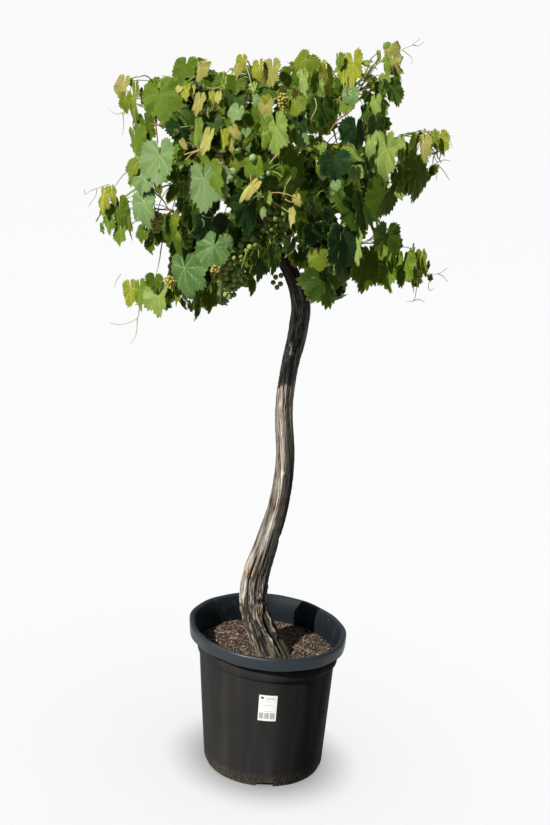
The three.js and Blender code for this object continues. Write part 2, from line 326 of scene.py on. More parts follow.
def raise_grain(tree, shader, place, scale, detail, strength, depth):
    """Gives a surface a fine relief, and hands back its noise for the colour to follow."""
    grain = add_node(
        tree, "ShaderNodeTexNoise", {"Scale": scale, "Detail": detail}, {"Vector": place},
    ).outputs["Fac"]
    raised = add_node(
        tree, "ShaderNodeBump", {"Strength": strength, "Distance": depth}, {"Height": grain},
    )
    tree.links.new(raised.outputs[0], shader.inputs["Normal"])
    return grain


def lay_over(tree, skin, colour, amount, low=0.0, high=1.0, most=1.0, blend="MIX"):
    """Lays a colour over a skin, from none where amount is low to a share of most where it is high."""
    cover = add_node(
        tree, "ShaderNodeMapRange", {"From Min": low, "From Max": high, "To Max": most}, {"Value": amount},
    )
    # In a colour mix, sockets 6 and 7 are the two colours and output 2 is the result.
    return add_node(
        tree, "ShaderNodeMix", {7: linear(colour)}, {0: cover.outputs[0], 6: skin},
        data_type="RGBA", blend_type=blend,
    ).outputs[2]


# Black polypropylene, injection moulded and weathered outdoors: a satin skin with a faint grain.
# The outer wall is greyed, is darker towards its right side with painted shade, and has soil splashed on
# its foot; the rim has turned bluish in the sun, and the inside is smoother and shows a few runs of dried
# water.
def moulded_finish(name, dark, light, smooth, rough, glare):
    made, tree, shader, place = new_material(name)
    cloud = add_node(
        tree, "ShaderNodeTexNoise", {"Scale": 14.0, "Detail": 5.0, "Roughness": 0.6}, {"Vector": place},
    )
    skin = add_node(
        tree, "ShaderNodeMix", {6: linear(dark), 7: linear(light)},
        {0: cloud.outputs["Fac"]}, data_type="RGBA",
    )
    gloss = add_node(
        tree, "ShaderNodeMapRange", {"To Min": smooth, "To Max": rough}, {"Value": cloud.outputs["Fac"]},
    )
    tree.links.new(gloss.outputs[0], shader.inputs["Roughness"])
    shader.inputs["IOR"].default_value = 1.49
    shader.inputs["Specular IOR Level"].default_value = glare
    # The moulded grain is about 1 mm across; drawn at 2 mm so that it shows.
    raise_grain(tree, shader, place, 480.0, 2.0, 0.18, 0.4 * MM)
    return made, tree, shader, place, skin.outputs[2]


wall_finish, tree, shader, place, skin = moulded_finish(
    "moulded_polypropylene", "#262626", "#2f2e2e", 0.5, 0.68, 0.02,
)
axes = add_node(tree, "ShaderNodeSeparateXYZ", links={0: place}).outputs
# Painted shade: the wall darkens towards its right side, away from the key light, nearly to black.
skin = lay_over(tree, skin, "#080808", axes["X"], 0.0, 185 * MM, 0.85)
# Rain and handling have left upright drags in the dust on it, 30 to 50 mm wide.
upright = add_node(tree, "ShaderNodeMapping", {"Scale": (24.0, 24.0, 1.5)}, {"Vector": place})
drags = add_node(
    tree, "ShaderNodeTexNoise", {"Scale": 1.0, "Detail": 3.0}, {"Vector": upright.outputs[0]},
).outputs["Fac"]
skin = lay_over(tree, skin, "#383736", drags, 0.46, 0.66, 0.5)
# Watering splashes soil up the foot of the wall, less and less up to 42 mm.
splash_height = add_node(
    tree, "ShaderNodeMapRange",
    {"From Min": 4 * MM, "From Max": 42 * MM, "To Min": 0.85, "To Max": 0.0}, {"Value": axes["Z"]},
)
speckle = add_node(
    tree, "ShaderNodeTexNoise", {"Scale": 130.0, "Detail": 6.0, "Roughness": 0.75},
    {"Vector": place},
)
patches = add_node(
    tree, "ShaderNodeMapRange", {"From Min": 0.45, "From Max": 0.62},
    {"Value": speckle.outputs["Fac"]},
)
splash = add_node(
    tree, "ShaderNodeMath", links={0: splash_height.outputs[0], 1: patches.outputs[0]},
    operation="MULTIPLY",
)
splashed = add_node(
    tree, "ShaderNodeMix", {7: linear("#63604a")},
    {0: splash.outputs[0], 6: skin}, data_type="RGBA",
)
tree.links.new(splashed.outputs[2], shader.inputs["Base Color"])

rim_finish, tree, shader, place, skin = moulded_finish(
    "sun_greyed_polypropylene", "#1c2329", "#252d34", 0.36, 0.52, 0.36,
)
tree.links.new(skin, shader.inputs["Base Color"])

inner_finish, tree, shader, place, skin = moulded_finish(
    "water_marked_polypropylene", "#141a1f", "#1b2228", 0.5, 0.64, 0.12,
)
runs = add_node(tree, "ShaderNodeMapping", {"Scale": (70.0, 70.0, 7.0)}, {"Vector": place})
marks = add_node(
    tree, "ShaderNodeTexNoise", {"Scale": 1.0, "Detail": 3.0}, {"Vector": runs.outputs[0]},
).outputs["Fac"]
marked = lay_over(tree, skin, "#70757a", marks, 0.62, 0.78, 0.28)
tree.links.new(marked, shader.inputs["Base Color"])

pot_finishes = [wall_finish, rim_finish, inner_finish]
for finish in pot_finishes:
    pot.data.materials.append(finish)
for face in pot.data.polygons:
    centre = face.center
    outward = centre.x * face.normal.x + centre.y * face.normal.y
    if outward < 0 and centre.z > BASE_THICK + 5 * MM and face.normal.z < 0.8:
        face.material_index = pot_finishes.index(inner_finish)
    elif centre.z > SHOULDER_HIGH + 0.5 * MM:
        face.material_index = pot_finishes.index(rim_finish)
finish_piece(pot, ["pot"])
standing.objects.link(pot)

# ---- price sticker ----
# A white self-adhesive paper label, printed in grey and pressed on by hand. It carries a round
# mark, a few rules and a row of plain bars, with nothing that can be read.
LABEL_WIDTH = 47 * MM
LABEL_HEIGHT = 76 * MM
LABEL_THICK = 0.5 * MM
LABEL_ACROSS = 3 * MM
LABEL_MIDDLE = 243 * MM
PRINT_STEP = 0.5 * MM
BARE, BLACK_INK, GREY_INK, FAINT_INK = range(4)
# The printed rules, in mm from the top left corner: down, start, end and depth.
PRINTED_RULES = [
    (6, 17, 40, 1.8), (10, 17, 43, 2.2), (16.5, 3, 6, 1.6), (18, 14, 30, 1.6), (25.5, 3, 6, 1.6),
    (27.5, 11, 32, 2.0), (35, 3, 6, 1.6), (44, 3, 6, 1.6), (46.5, 15, 36, 1.6),
]
PRINTED_BARS = [(2.5, 14), (16, 28), (31, 43)]

bpy.ops.object.select_all(action="DESELECT")
bpy.ops.mesh.primitive_grid_add(
    x_subdivisions=round(LABEL_WIDTH / PRINT_STEP),
    y_subdivisions=round(LABEL_HEIGHT / PRINT_STEP),
    size=1,
)
sticker = bpy.context.object
sticker.name = "sticker"


def printed(u, v):
    """Which ink a place on the sticker carries, in mm from its top left corner."""
    if math.hypot((u - 8.5) / 4.6, (v - 7.6) / 3.6) < 1:
        return BLACK_INK
    for down, start, end, deep in PRINTED_RULES:
        if start < u < end and down < v < down + deep and math.sin(2.9 * u + down) > -0.62:
            return GREY_INK
    if 52 < v < 70 and any(low < u < high for low, high in PRINTED_BARS):
        return GREY_INK if math.sin(2.1 * u) + 0.5 * math.sin(3.3 * u + 1) > 0.1 else FAINT_INK
    return BARE


# Coated label paper, rolled: a smooth cool white, barely mottled by its fibres.
label_paper, tree, shader, place = new_material("coated_label_paper")
shader.inputs["Roughness"].default_value = 0.55
fibres = raise_grain(tree, shader, place, 900.0, 3.0, 0.1, 0.1 * MM)
tone = add_node(
    tree, "ShaderNodeMix", {6: linear("#e6e9eb"), 7: linear("#f4f7f9")}, {0: fibres}, data_type="RGBA",
)
tree.links.new(tone.outputs[2], shader.inputs["Base Color"])
sticker.data.materials.append(label_paper)
# Thermal print, turned dark by a hot head: satin, and rubbed paler in patches.
INKS = {"black": "#161616", "grey": "#8a8b8b", "faint": "#bdbebd"}
for ink_name, ink_colour in INKS.items():
    ink, tree, shader, place = new_material(ink_name + "_thermal_print")
    shader.inputs["Roughness"].default_value = 0.5
    wear = add_node(tree, "ShaderNodeTexNoise", {"Scale": 700.0, "Detail": 2.0}, {"Vector": place})
    tone = add_node(
        tree, "ShaderNodeMix", {6: linear(ink_colour), 7: linear("#c9cac8")},
        data_type="RGBA",
    )
    faded = add_node(
        tree, "ShaderNodeMapRange", {"From Min": 0.45, "From Max": 0.8, "To Max": 0.5},
        {"Value": wear.outputs["Fac"]},
    )
    tree.links.new(faded.outputs[0], tone.inputs[0])
    tree.links.new(tone.outputs[2], shader.inputs["Base Color"])
    sticker.data.materials.append(ink)

u, v, _ = coordinates(sticker).T
for face in sticker.data.polygons:
    centre = face.center
    face.material_index = printed(
        (centre.x + 0.5) * LABEL_WIDTH / MM, (0.5 - centre.y) * LABEL_HEIGHT / MM,
    )
height = LABEL_MIDDLE + v * LABEL_HEIGHT
across = LABEL_ACROSS - RIM_SHIFT * height / POT_HEIGHT + u * LABEL_WIDTH
turn = -np.arccos(across / wall_radius(height))
radius = wall_radius(height) * wall_flats(turn, height) + 0.6 * MM
placed = handled(radius * np.cos(turn), radius * np.sin(turn), height)
put_coordinates(sticker, np.stack(placed, axis=1))
select_only(sticker)
thickness = sticker.modifiers.new("thickness", "SOLIDIFY")
thickness.thickness = LABEL_THICK
thickness.offset = -1
bpy.ops.object.modifier_apply(modifier="thickness")
bpy.ops.object.shade_smooth_by_angle(angle=math.radians(40))
finish_piece(sticker, ["label"])

# ---- soil ----
# Potting mix of peat, composted bark and grit that has settled below the rim: a lumpy dark brown
# bed with loose chips of bark, pale grit and a few straws lying on it.
SOIL_AT_WALL = 328 * MM
SOIL_LEVEL = 334 * MM
SOIL_RADIUS = SHOULDER_RADIUS - POT_WALL - 1.6 * MM
SOIL_DEEP = 9 * MM
SOIL_SIDES = 220
SOIL_RINGS = 64
CHIP_COUNT = 3000
STRAW_COUNT = 11
STRAW_SIDES = 4

bpy.ops.object.select_all(action="DESELECT")
bpy.ops.mesh.primitive_circle_add(
    vertices=SOIL_SIDES, radius=SOIL_RADIUS, fill_type="NGON", location=(0, 0, SOIL_LEVEL - SOIL_DEEP),
)
soil = bpy.context.object
soil.name = "soil_bed"
bpy.ops.object.transform_apply()
bpy.ops.object.mode_set(mode="EDIT")
bpy.ops.mesh.select_all(action="SELECT")
bpy.ops.mesh.extrude_region_move(TRANSFORM_OT_translate={"value": (0, 0, SOIL_DEEP)})
for ring in range(SOIL_RINGS - 1, 0, -1):
    bpy.ops.mesh.extrude_region_move()
    share = ring / (ring + 1)
    bpy.ops.transform.resize(value=(share, share, 1), center_override=(0, 0, SOIL_LEVEL))
bpy.ops.mesh.select_all(action="SELECT")
bpy.ops.mesh.normals_make_consistent(inside=False)
bpy.ops.object.mode_set(mode="OBJECT")


def soil_top(x, y):
    """Height of the soil surface: it slopes to the wall, in soft lumps and small crumbs."""
    out = min(1, math.hypot(x, y) / SOIL_RADIUS)
    slope = SOIL_LEVEL - (SOIL_LEVEL - SOIL_AT_WALL) * out ** 2
    lumps = 4.5 * MM * noise.noise(Vector((22 * x, 22 * y, 3.1)))
    crumbs = 3.4 * MM * noise.noise(Vector((105 * x, 105 * y, 7.7)))
    grit = 2.4 * MM * noise.noise(Vector((230 * x, 230 * y, 1.9)))
    return slope + (lumps + crumbs + grit) * (0.35 + 0.65 * (1 - out ** 8))


bed = coordinates(soil)
for row in bed:
    if row[2] > SOIL_LEVEL - 0.5 * SOIL_DEEP:
        row[2] = soil_top(row[0], row[1])
put_coordinates(soil, np.stack(handled(*bed.T), axis=1))
select_only(soil)
bpy.ops.object.shade_smooth_by_angle(angle=math.radians(60))

# Peat mix, tipped in and watered: matt, with fine brown, tan and nearly black crumbs in one surface.
peat_mix, tree, shader, place = new_material("watered_peat_mix")
shader.inputs["Roughness"].default_value = 0.95
shader.inputs["Specular IOR Level"].default_value = 0.2
crumb_cells = add_node(tree, "ShaderNodeTexVoronoi", {"Scale": 190.0}, {"Vector": place})
crumb_value = add_node(
    tree, "ShaderNodeSeparateColor", links={0: crumb_cells.outputs["Color"]},
).outputs[0]
crumb_tones = add_node(tree, "ShaderNodeValToRGB", links={0: crumb_value})
ramp = crumb_tones.color_ramp
ramp.interpolation = "CONSTANT"
ramp.elements[0].color = linear("#28201b")
ramp.elements[1].position = 0.3
ramp.elements[1].color = linear("#3f352d")
for position, colour in ((0.55, "#52473d"), (0.78, "#675c50"), (0.93, "#877a69")):
    ramp.elements.new(position).color = linear(colour)
tree.links.new(crumb_tones.outputs[0], shader.inputs["Base Color"])
raised = add_node(
    tree, "ShaderNodeBump", {"Strength": 0.9, "Distance": 1.2 * MM},
    {"Height": crumb_cells.outputs["Distance"]},
)
tree.links.new(raised.outputs[0], shader.inputs["Normal"])
soil.data.materials.append(peat_mix)
finish_piece(soil, ["soil"])


def plain_finish(name, colour, roughness, bump_scale, bump_depth):
    """A material of one colour whose fine surface comes from a small noise."""
    made, tree, shader, place = new_material(name)
    shader.inputs["Base Color"].default_value = linear(colour)
    shader.inputs["Roughness"].default_value = roughness
    raise_grain(tree, shader, place, bump_scale, 3.0, 0.5, bump_depth)
    return made


def smooth_piece(name, places, faces, materials):
    """A piece of smooth faces, from its vertices and faces."""
    mesh = bpy.data.meshes.new(name)
    mesh.from_pydata(places, [], faces)
    for material in materials:
        mesh.materials.append(material)
    mesh.polygons.foreach_set("use_smooth", [True] * len(faces))
    made = bpy.data.objects.new(name, mesh)
    bpy.context.scene.collection.objects.link(made)
    return made


class Batch:
    """Vertices and faces of many small things that become one joined piece."""

    def __init__(self):
        self.places = []
        self.faces = []
        self.tints = []
        self.sharp = []
        self.count = 0

    def add(self, places, faces, tints, sharp=()):
        """tints is one material number for all the faces, or a list with one for each."""
        if isinstance(tints, int):
            tints = [tints] * len(faces)
        self.places.append(np.asarray(places, dtype=float))
        self.faces += [[i + self.count for i in face] for face in faces]
        self.tints += tints
        self.sharp += [(a + self.count, b + self.count) for a, b in sharp]
        self.count += len(places)

    def piece(self, name, materials):
        made = smooth_piece(name, np.concatenate(self.places).tolist(), self.faces, materials)
        mesh = made.data
        mesh.polygons.foreach_set("material_index", self.tints)
        if self.sharp:
            marked = {tuple(sorted(pair)) for pair in self.sharp}
            edges = [tuple(sorted(edge.vertices)) in marked for edge in mesh.edges]
            crease = mesh.attributes.new("sharp_edge", "BOOLEAN", "EDGE")
            crease.data.foreach_set("value", edges)
        mesh.update()
        return made


# Loose chips: torn bark, light grit and clay crumbs, each a lopsided eight-sided grain. Bark is
# dark, dry and fibrous, pumice is pale and chalky, fired clay is dull red brown, and straw is tan.
CHIP_CORNERS = np.array([(1, 0, 0), (0, 1, 0), (-1, 0, 0), (0, -1, 0), (0, 0, 0.7), (0, 0, -0.7)], float)
CHIP_FACES = [(0, 1, 4), (1, 2, 4), (2, 3, 4), (3, 0, 4), (1, 0, 5), (2, 1, 5), (3, 2, 5), (0, 3, 5)]
STRAW = 4                           # its place among the finishes; the kinds of chip come first
CHIP_SHARES = [42, 36, 14, 8]       # how many of a hundred chips are of each kind
chip_finishes = [
    plain_finish("torn_dark_bark", "#362c25", 0.9, 900, 0.3 * MM),
    plain_finish("composted_bark", "#54473c", 0.9, 900, 0.3 * MM),
    plain_finish("pale_pumice_grit", "#978975", 0.85, 1200, 0.2 * MM),
    plain_finish("fired_clay_crumb", "#7d664f", 0.85, 1200, 0.2 * MM),
    plain_finish("dry_straw", "#948464", 0.7, 700, 0.1 * MM),
]
dice = random.Random(11)
chips = Batch()
for _ in range(CHIP_COUNT):
    out = SOIL_RADIUS * 0.985 * math.sqrt(dice.random())
    turn = dice.uniform(0, 2 * math.pi)
    x, y = out * math.cos(turn), out * math.sin(turn)
    size = dice.uniform(1.6, 4.0) * MM * (1.5 if dice.random() < 0.06 else 1)
    if out + 2.5 * size > SOIL_RADIUS:
        continue
    stretch = np.array([dice.uniform(0.7, 1.8), dice.uniform(0.6, 1.0), dice.uniform(0.5, 0.8)]) * size
    spin = Matrix.Rotation(dice.uniform(0, 6.28), 3, "Z") @ Matrix.Rotation(dice.uniform(-0.7, 0.7), 3, "X")
    grain = (CHIP_CORNERS * stretch) @ np.array(spin).T
    grain += (x, y, soil_top(x, y) + 0.25 * size)
    kind = dice.choices(range(STRAW), CHIP_SHARES)[0]
    chips.add(np.stack(handled(*grain.T), axis=1), CHIP_FACES, kind)


def ring_faces(count, sides):
    """The faces between rings of places, where each ring stands on the one before."""
    return [
        (j * sides + i, j * sides + (i + 1) % sides, (j + 1) * sides + (i + 1) % sides, (j + 1) * sides + i)
        for j in range(count - 1) for i in range(sides)
    ]


def tube(points, radii, sides):
    """A closed tube along points, as its vertices and faces. It keeps its turn as it bends."""
    points = np.asarray(points, dtype=float)
    radii = np.broadcast_to(np.asarray(radii, dtype=float), len(points))
    along = np.gradient(points, axis=0)
    along /= np.linalg.norm(along, axis=1)[:, None] + 1e-12
    side = np.cross(along[0], (0.31, 0.17, 0.93))
    turns = np.linspace(0, 2 * np.pi, sides, endpoint=False)
    rows = []
    for point, radius, forward in zip(points, radii, along):
        side = side - forward * side.dot(forward)
        side /= np.linalg.norm(side)
        up = np.cross(forward, side)
        rows.append(point + radius * (np.outer(np.cos(turns), side) + np.outer(np.sin(turns), up)))
    faces = ring_faces(len(points), sides)
    last = (len(points) - 1) * sides
    faces.append(tuple(range(sides - 1, -1, -1)))
    faces.append(tuple(range(last, last + sides)))
    return np.concatenate(rows), faces


for _ in range(STRAW_COUNT):
    out = SOIL_RADIUS * dice.uniform(0.3, 0.9)
    turn = dice.uniform(0, 2 * math.pi)
    middle = Vector((out * math.cos(turn), out * math.sin(turn), 0))
    reach = Vector((dice.uniform(-1, 1), dice.uniform(-1, 1), 0)).normalized() * dice.uniform(12, 30) * MM
    line = []
    for share in (-1, -0.4, 0.3, 1):
        spot = middle + share * reach + Vector((0, 0, 0)).lerp(reach.yzx, 0.06 * share * share)
        line.append((spot.x, spot.y, soil_top(spot.x, spot.y) + 1.6 * MM))
    places, faces = tube(line, dice.uniform(0.5, 0.9) * MM, STRAW_SIDES)
    chips.add(np.stack(handled(*places.T), axis=1), faces, STRAW)
# A few dead stalks of grass still stand behind the trunk: their foot, lean and height in mm.
DEAD_GRASS = [(4, 92, -6, 42), (9, 96, 4, 55), (19, 90, 9, 36), (27, 99, -4, 30), (-2, 99, 2, 26)]
for x, y, lean, tall in DEAD_GRASS:
    foot = Vector((x * MM, y * MM, soil_top(x * MM, y * MM) - 2 * MM))
    line = [foot + Vector((lean * t * t, 0.3 * lean * t, tall * t)) * MM for t in (0, 0.35, 0.7, 1)]
    places, faces = tube(line, (0.8 * MM, 0.7 * MM, 0.6 * MM, 0.4 * MM), STRAW_SIDES)
    chips.add(np.stack(handled(*places.T), axis=1), faces, STRAW)
loose_chips = chips.piece("loose_chips", chip_finishes)
finish_piece(loose_chips)

# ---- trunk ----
# An old vine stem trained to one leg: grey wood under shredding bark, with ropy strands that
# twist a little, split along the grain, and part into buttresses at the foot.
# Its line and its radius there, in mm.
TRUNK_LINE = [
    ((20, -44, 300), 47), ((7, -35, 324), 44), ((-13, -20, 358), 41), ((-49, -12, 440), 39),
    ((-56, -6, 525), 37), ((-34, 2, 628), 31), ((-9, 8, 735), 27.5), ((0, 8, 860), 25),
    ((-13, 2, 1000), 24), ((-8, -4, 1110), 23), ((7, -6, 1215), 25), ((9, -4, 1285), 25),
    ((-20, 0, 1357), 20.5), ((-54, 2, 1404), 19), ((-88, 4, 1432), 23), ((-100, 4, 1440), 14),
]
TRUNK_SIDES = 216
TRUNK_STEP = 2.9 * MM
TRUNK_RELIEF = 0.75
BARK_TWIST = 2.2                    # how far the strands wind round, in radians for each metre
FOOT_LOBES = 7
FOOT_HEIGHT = 120 * MM
# Scars of lost roots and shoots on the foot: turn in degrees, height, half width in degrees, half
# height, and depth in mm. A negative depth is a knob or the healed lip of a scar.
FOOT_SCARS = [
    (292, 0.474, 13, 0.007, 7), (291, 0.490, 15, 0.007, -5), (302, 0.448, 6, 0.020, 6),
    (288, 0.430, 6, 0.030, -4), (313, 0.418, 7, 0.012, -7), (300, 0.405, 6, 0.020, 7),
    (280, 0.395, 4, 0.040, 5), (266, 0.372, 4, 0.030, 6), (292, 0.362, 9, 0.010, -6),
    (304, 0.350, 5, 0.020, 6), (252, 0.350, 4, 0.030, 6), (318, 0.370, 7, 0.014, -5),
]
# Healed knots: turn in degrees, height in metres and size in mm.
KNOTS = [(284, 0.689, 11), (300, 0.468, 14), (262, 0.835, 6), (240, 1.02, 9)]


def smooth_line(knots, count):
    """Points on a smooth line through the knots, evenly spread, each with its share of the way."""
    knots = np.asarray(knots, dtype=float)
    ends = np.concatenate([[2 * knots[0] - knots[1]], knots, [2 * knots[-1] - knots[-2]]])
    rows = []
    for i in range(len(knots) - 1):
        a, b, c, d = ends[i:i + 4]
        ab, bc, cd = (max(1e-9, np.linalg.norm(q - p) ** 0.5) for p, q in ((a, b), (b, c), (c, d)))
        start = ((b - a) / ab - (c - a) / (ab + bc) + (c - b) / bc) * bc
        end = ((c - b) / bc - (d - b) / (bc + cd) + (d - c) / cd) * bc
        t = np.linspace(0, 1, 40, endpoint=False)[:, None]
        rows.append(
            (2 * t ** 3 - 3 * t ** 2 + 1) * b + (t ** 3 - 2 * t ** 2 + t) * start
            + (3 * t ** 2 - 2 * t ** 3) * c + (t ** 3 - t ** 2) * end
        )
    dense = np.concatenate(rows + [knots[-1:]])
    place = np.linspace(0, len(knots) - 1, len(dense))
    walked = np.concatenate([[0], np.cumsum(np.linalg.norm(np.diff(dense, axis=0), axis=1))])
    even = np.linspace(0, walked[-1], count)
    line = np.stack([np.interp(even, walked, dense[:, k]) for k in range(3)], axis=1)
    return line, np.interp(even, walked, place), even


def clamped(share):
    return min(1.0, max(0.0, share))


def bark_limb(knots, radii, sides, step, seed, relief, shape=None):
    """
    A limb with bark in relief: its vertices, its faces, how pale each place is, and how much painted shade
    darkens it.
    shape(angle, height) gives extra reach, paleness, darkness and how stringy the bark is, for
    what only one limb has.
    """
    length = sum(np.linalg.norm(np.subtract(q, p)) for p, q in zip(knots, knots[1:]))
    count = max(8, round(length / step))
    line, place, walked = smooth_line(knots, count)
    radius = np.interp(place, range(len(radii)), radii)
    softened = np.convolve(np.pad(radius, 8, mode="edge"), np.ones(17) / 17, mode="valid")
    along = np.gradient(line, axis=0)
    along /= np.linalg.norm(along, axis=1)[:, None]
    across = np.array((1.0, 0.0, 0.0))
    turns = np.linspace(0, 2 * math.pi, sides, endpoint=False)
    places, pale, deep = [], [], []
    for j in range(count):
        side = np.cross(along[j], across)
        side /= np.linalg.norm(side)
        across = np.cross(side, along[j])
        thick = softened[j]
        for turn in turns:
            wound = turn + BARK_TWIST * walked[j]
            ring = Vector((math.cos(wound), math.sin(wound), 0))
            far = walked[j] + seed
            broad = noise.noise(ring * 1.6 + Vector((0, 0, 5.0 * far)))
            strand = noise.noise(ring * 3.6 + Vector((0, 0, 4.0 * far)))
            split = noise.noise(ring * 4.4 + Vector((0, 0, 6.5 * far + 20)))
            crack = noise.noise(ring * 9.0 + Vector((0, 0, 14 * far + 60)))
            fibre = noise.noise(ring * 21 + Vector((0, 0, 16 * far)))
            hair = noise.noise(ring * 46 + Vector((0, 0, 40 * far)))
            extra, lighter, darker, stringy = shape(turn, line[j][2]) if shape else (0, 0, 0, 1)
            cleft = max(0.0, 1 - abs(split) / 0.15) * clamped(0.6 + 2.2 * broad)
            crevice = max(0.0, 1 - abs(crack) / 0.16) * clamped(0.35 + 2.5 * strand)
            threads = stringy * (1.3 * fibre + 0.8 * hair - 2.2 * crevice)
            reach = relief * (1.5 * broad + 2.0 * strand - 4.0 * cleft + threads) * MM + extra
            tone = 0.5 + 0.5 * strand + 0.3 * broad + stringy * (0.75 * fibre + 0.45 * hair) + lighter
            # Painted shade: clefts, crevices and sunk threads are darkened, on top of the darkening that
            # the shape gives.
            hollow_shade = 0.95 * cleft + stringy * (0.7 * crevice + max(0.0, -0.9 * fibre - 0.18)) + darker
            places.append(line[j] + (thick + reach) * (math.cos(turn) * across + math.sin(turn) * side))
            pale.append(tone)
            deep.append(hollow_shade)
    faces = ring_faces(count, sides)
    for row, order in ((0, -1), (count - 1, 1)):
        hub = len(places)
        places.append(line[row] + order * 0.25 * softened[row] * along[row])
        pale.append(0.3)
        deep.append(0.4)
        ring = [row * sides + i for i in range(sides)]
        faces += [(hub, a, b)[::1 if order > 0 else -1] for a, b in zip(ring, ring[1:] + ring[:1])]
    return places, faces, pale, deep


def bump(value, middle, width):
    """1 where a value is at middle, falling away over about width to either side."""
    return math.exp(-((value - middle) / width) ** 2)


def turn_apart(angle, middle):
    """How far an angle is past middle, in degrees from -180 to 180."""
    return (math.degrees(angle) - middle + 180) % 360 - 180


def near_turn(angle, middle, width):
    return bump(turn_apart(angle, middle), 0, width)


noise.seed_set(23)          # noise_vector starts from the clock otherwise


def plates(around, z, wide, tall):
    """Bark that lifts in long plates: how pale a place's own plate is, and how near a crack it is."""
    spot = Vector((wide * around.x, wide * around.y, tall * z))
    spot += 0.22 * noise.noise_vector(3.1 * spot)
    apart, middles = noise.voronoi(spot)
    return noise.cell(7.3 * middles[0]), max(0.0, 1 - (apart[1] - apart[0]) / 0.16)


def old_trunk(angle, z):
    """What only the trunk has: buttresses, a strand that parts on the left, scars and knots."""
    up = max(0.0, z - SOIL_LEVEL)
    foot = math.exp(-up / FOOT_HEIGHT)
    wind = FOOT_LOBES * angle + 3.0 + 9 * up
    ridge = abs(math.cos(wind / 2)) ** 0.7
    extra = (8.0 * foot + 0.9) * (ridge - 0.72) * MM
    # Painted shade in the grooves between the buttresses.
    darker = max(0.0, 0.42 - ridge) * 2.6 * foot
    lighter = 0.0
    # A strand that parts from the trunk low on its left.
    strand = near_turn(angle, 206 + 40 * max(0.0, 0.62 - z), 18) * clamped((0.625 - z) / 0.06)
    extra += 4.5 * strand * MM
    lighter += 0.25 * strand
    # Ropes and flakes of old bark, which fade out above the foot.
    rope_share = clamped((0.66 - z) / 0.2)
    around = Vector((math.cos(angle), math.sin(angle), 0))
    rope = 1 - 2.6 * abs(noise.noise(around * 3.4 + Vector((0, 0, 8 * z + 3))))
    flake = 1 - 2.6 * abs(noise.noise(around * 7.5 + Vector((0, 0, 21 * z + 9))))
    extra += rope_share * (4.5 * (rope - 0.55) + 2.2 * (flake - 0.55)) * MM
    # Painted shade where the ropes and flakes sink.
    darker += rope_share * (2.2 * max(0.0, 0.2 - rope) + 1.2 * max(0.0, 0.12 - flake))
    lighter += rope_share * (0.3 * (rope - 0.5) + 0.25 * (flake - 0.5))
    # Long plates, large and small, with painted shade in the cracks between them.
    plated = max(rope_share, 0.75 * clamped((z - 1.02) / 0.08), 0.3)
    for wide, tall, strength in ((2.3, 13, 1.0), (5.2, 34, 0.55)):
        tone, crack = plates(around, z, wide, tall)
        extra -= 2.4 * strength * plated * crack * MM
        darker += 1.0 * strength * plated * crack
        lighter += 0.34 * strength * plated * tone
    # Where it is bleached, and stained by the soil.
    lighter += 0.2 * near_turn(angle, 262, 38) * clamped((0.50 - z) / 0.06)
    lighter -= 0.45 * clamped((0.395 - z) / 0.04)
    lighter += 0.35 * near_turn(angle, 212, 30) * bump(z, 0.57, 0.04)
    # Darker around 0.76 m, and more so right of the front, where the extra darkness is painted shade.
    lighter -= bump(z, 0.76, 0.16) * (0.3 + 0.4 * clamped(turn_apart(angle, 264) / 12))
    # Painted shade on the right side from about 0.5 to 0.9 m, and painted light on it around 1.06 m.
    right_side = clamped(turn_apart(angle, 300) / 20)
    darker += 0.5 * right_side * (bump(z, 0.68, 0.2) - 1.2 * bump(z, 1.06, 0.05))
    # Scars are darkened by painted shade as deep as they sink; knobs and healed lips are paler as far as
    # they stand out.
    for turn, high, wide, tall, deep in FOOT_SCARS:
        mark = near_turn(angle, turn, wide) * bump(z, high, tall)
        extra -= deep * mark * MM
        darker += max(0.0, 0.16 * deep * mark)
        lighter -= min(0.0, 0.11 * deep * mark)
    # The seam beside the parted strand, and an old scar with its healed lip; painted shade darkens the seam
    # and the scar.
    wander = 5 * noise.noise(Vector((0, 0, 22 * z)))
    seam = near_turn(angle, 230 + wander + 38 * max(0.0, 0.62 - z), 3.6) * clamped((0.61 - z) / 0.04)
    extra -= 6.5 * seam * MM
    darker += 1.1 * seam
    scar_turn = turn_apart(angle, 286 + 210 * max(0.0, 0.44 - z))
    scar = bump(scar_turn, 0, 8) * bump(z, 0.395, 0.045)
    extra -= 10 * scar * MM
    darker += 1.3 * scar
    lip = bump(scar_turn, 17, 9) * bump(z, 0.40, 0.05)
    extra += 5 * lip * MM
    # A bleached strip up its front, and beside it, right of the front, a strip of painted shade.
    strip = near_turn(angle, 249, 11) * clamped((z - 0.60) / 0.1)
    lighter += 0.55 * strip * clamped((1.0 - z) / 0.12)
    lighter -= 0.45 * near_turn(angle, 287, 17) * clamped((z - 0.5) / 0.1)
    for turn, high, size in KNOTS:
        knot = near_turn(angle, turn, 2.1 * size) * bump(z, high, size * MM)
        extra += 0.28 * size * knot * MM
        lighter += 0.5 * knot
    # A long split high on the trunk, darkened by painted shade.
    long_split = near_turn(angle, 276 + 40 * (z - 1.18), 4) * bump(z, 1.16, 0.08)
    extra -= 3.5 * long_split * MM
    darker += 0.9 * long_split
    stringy = 0.25 + 0.55 * clamped((z - 0.58) / 0.55)
    return extra, lighter, darker, stringy


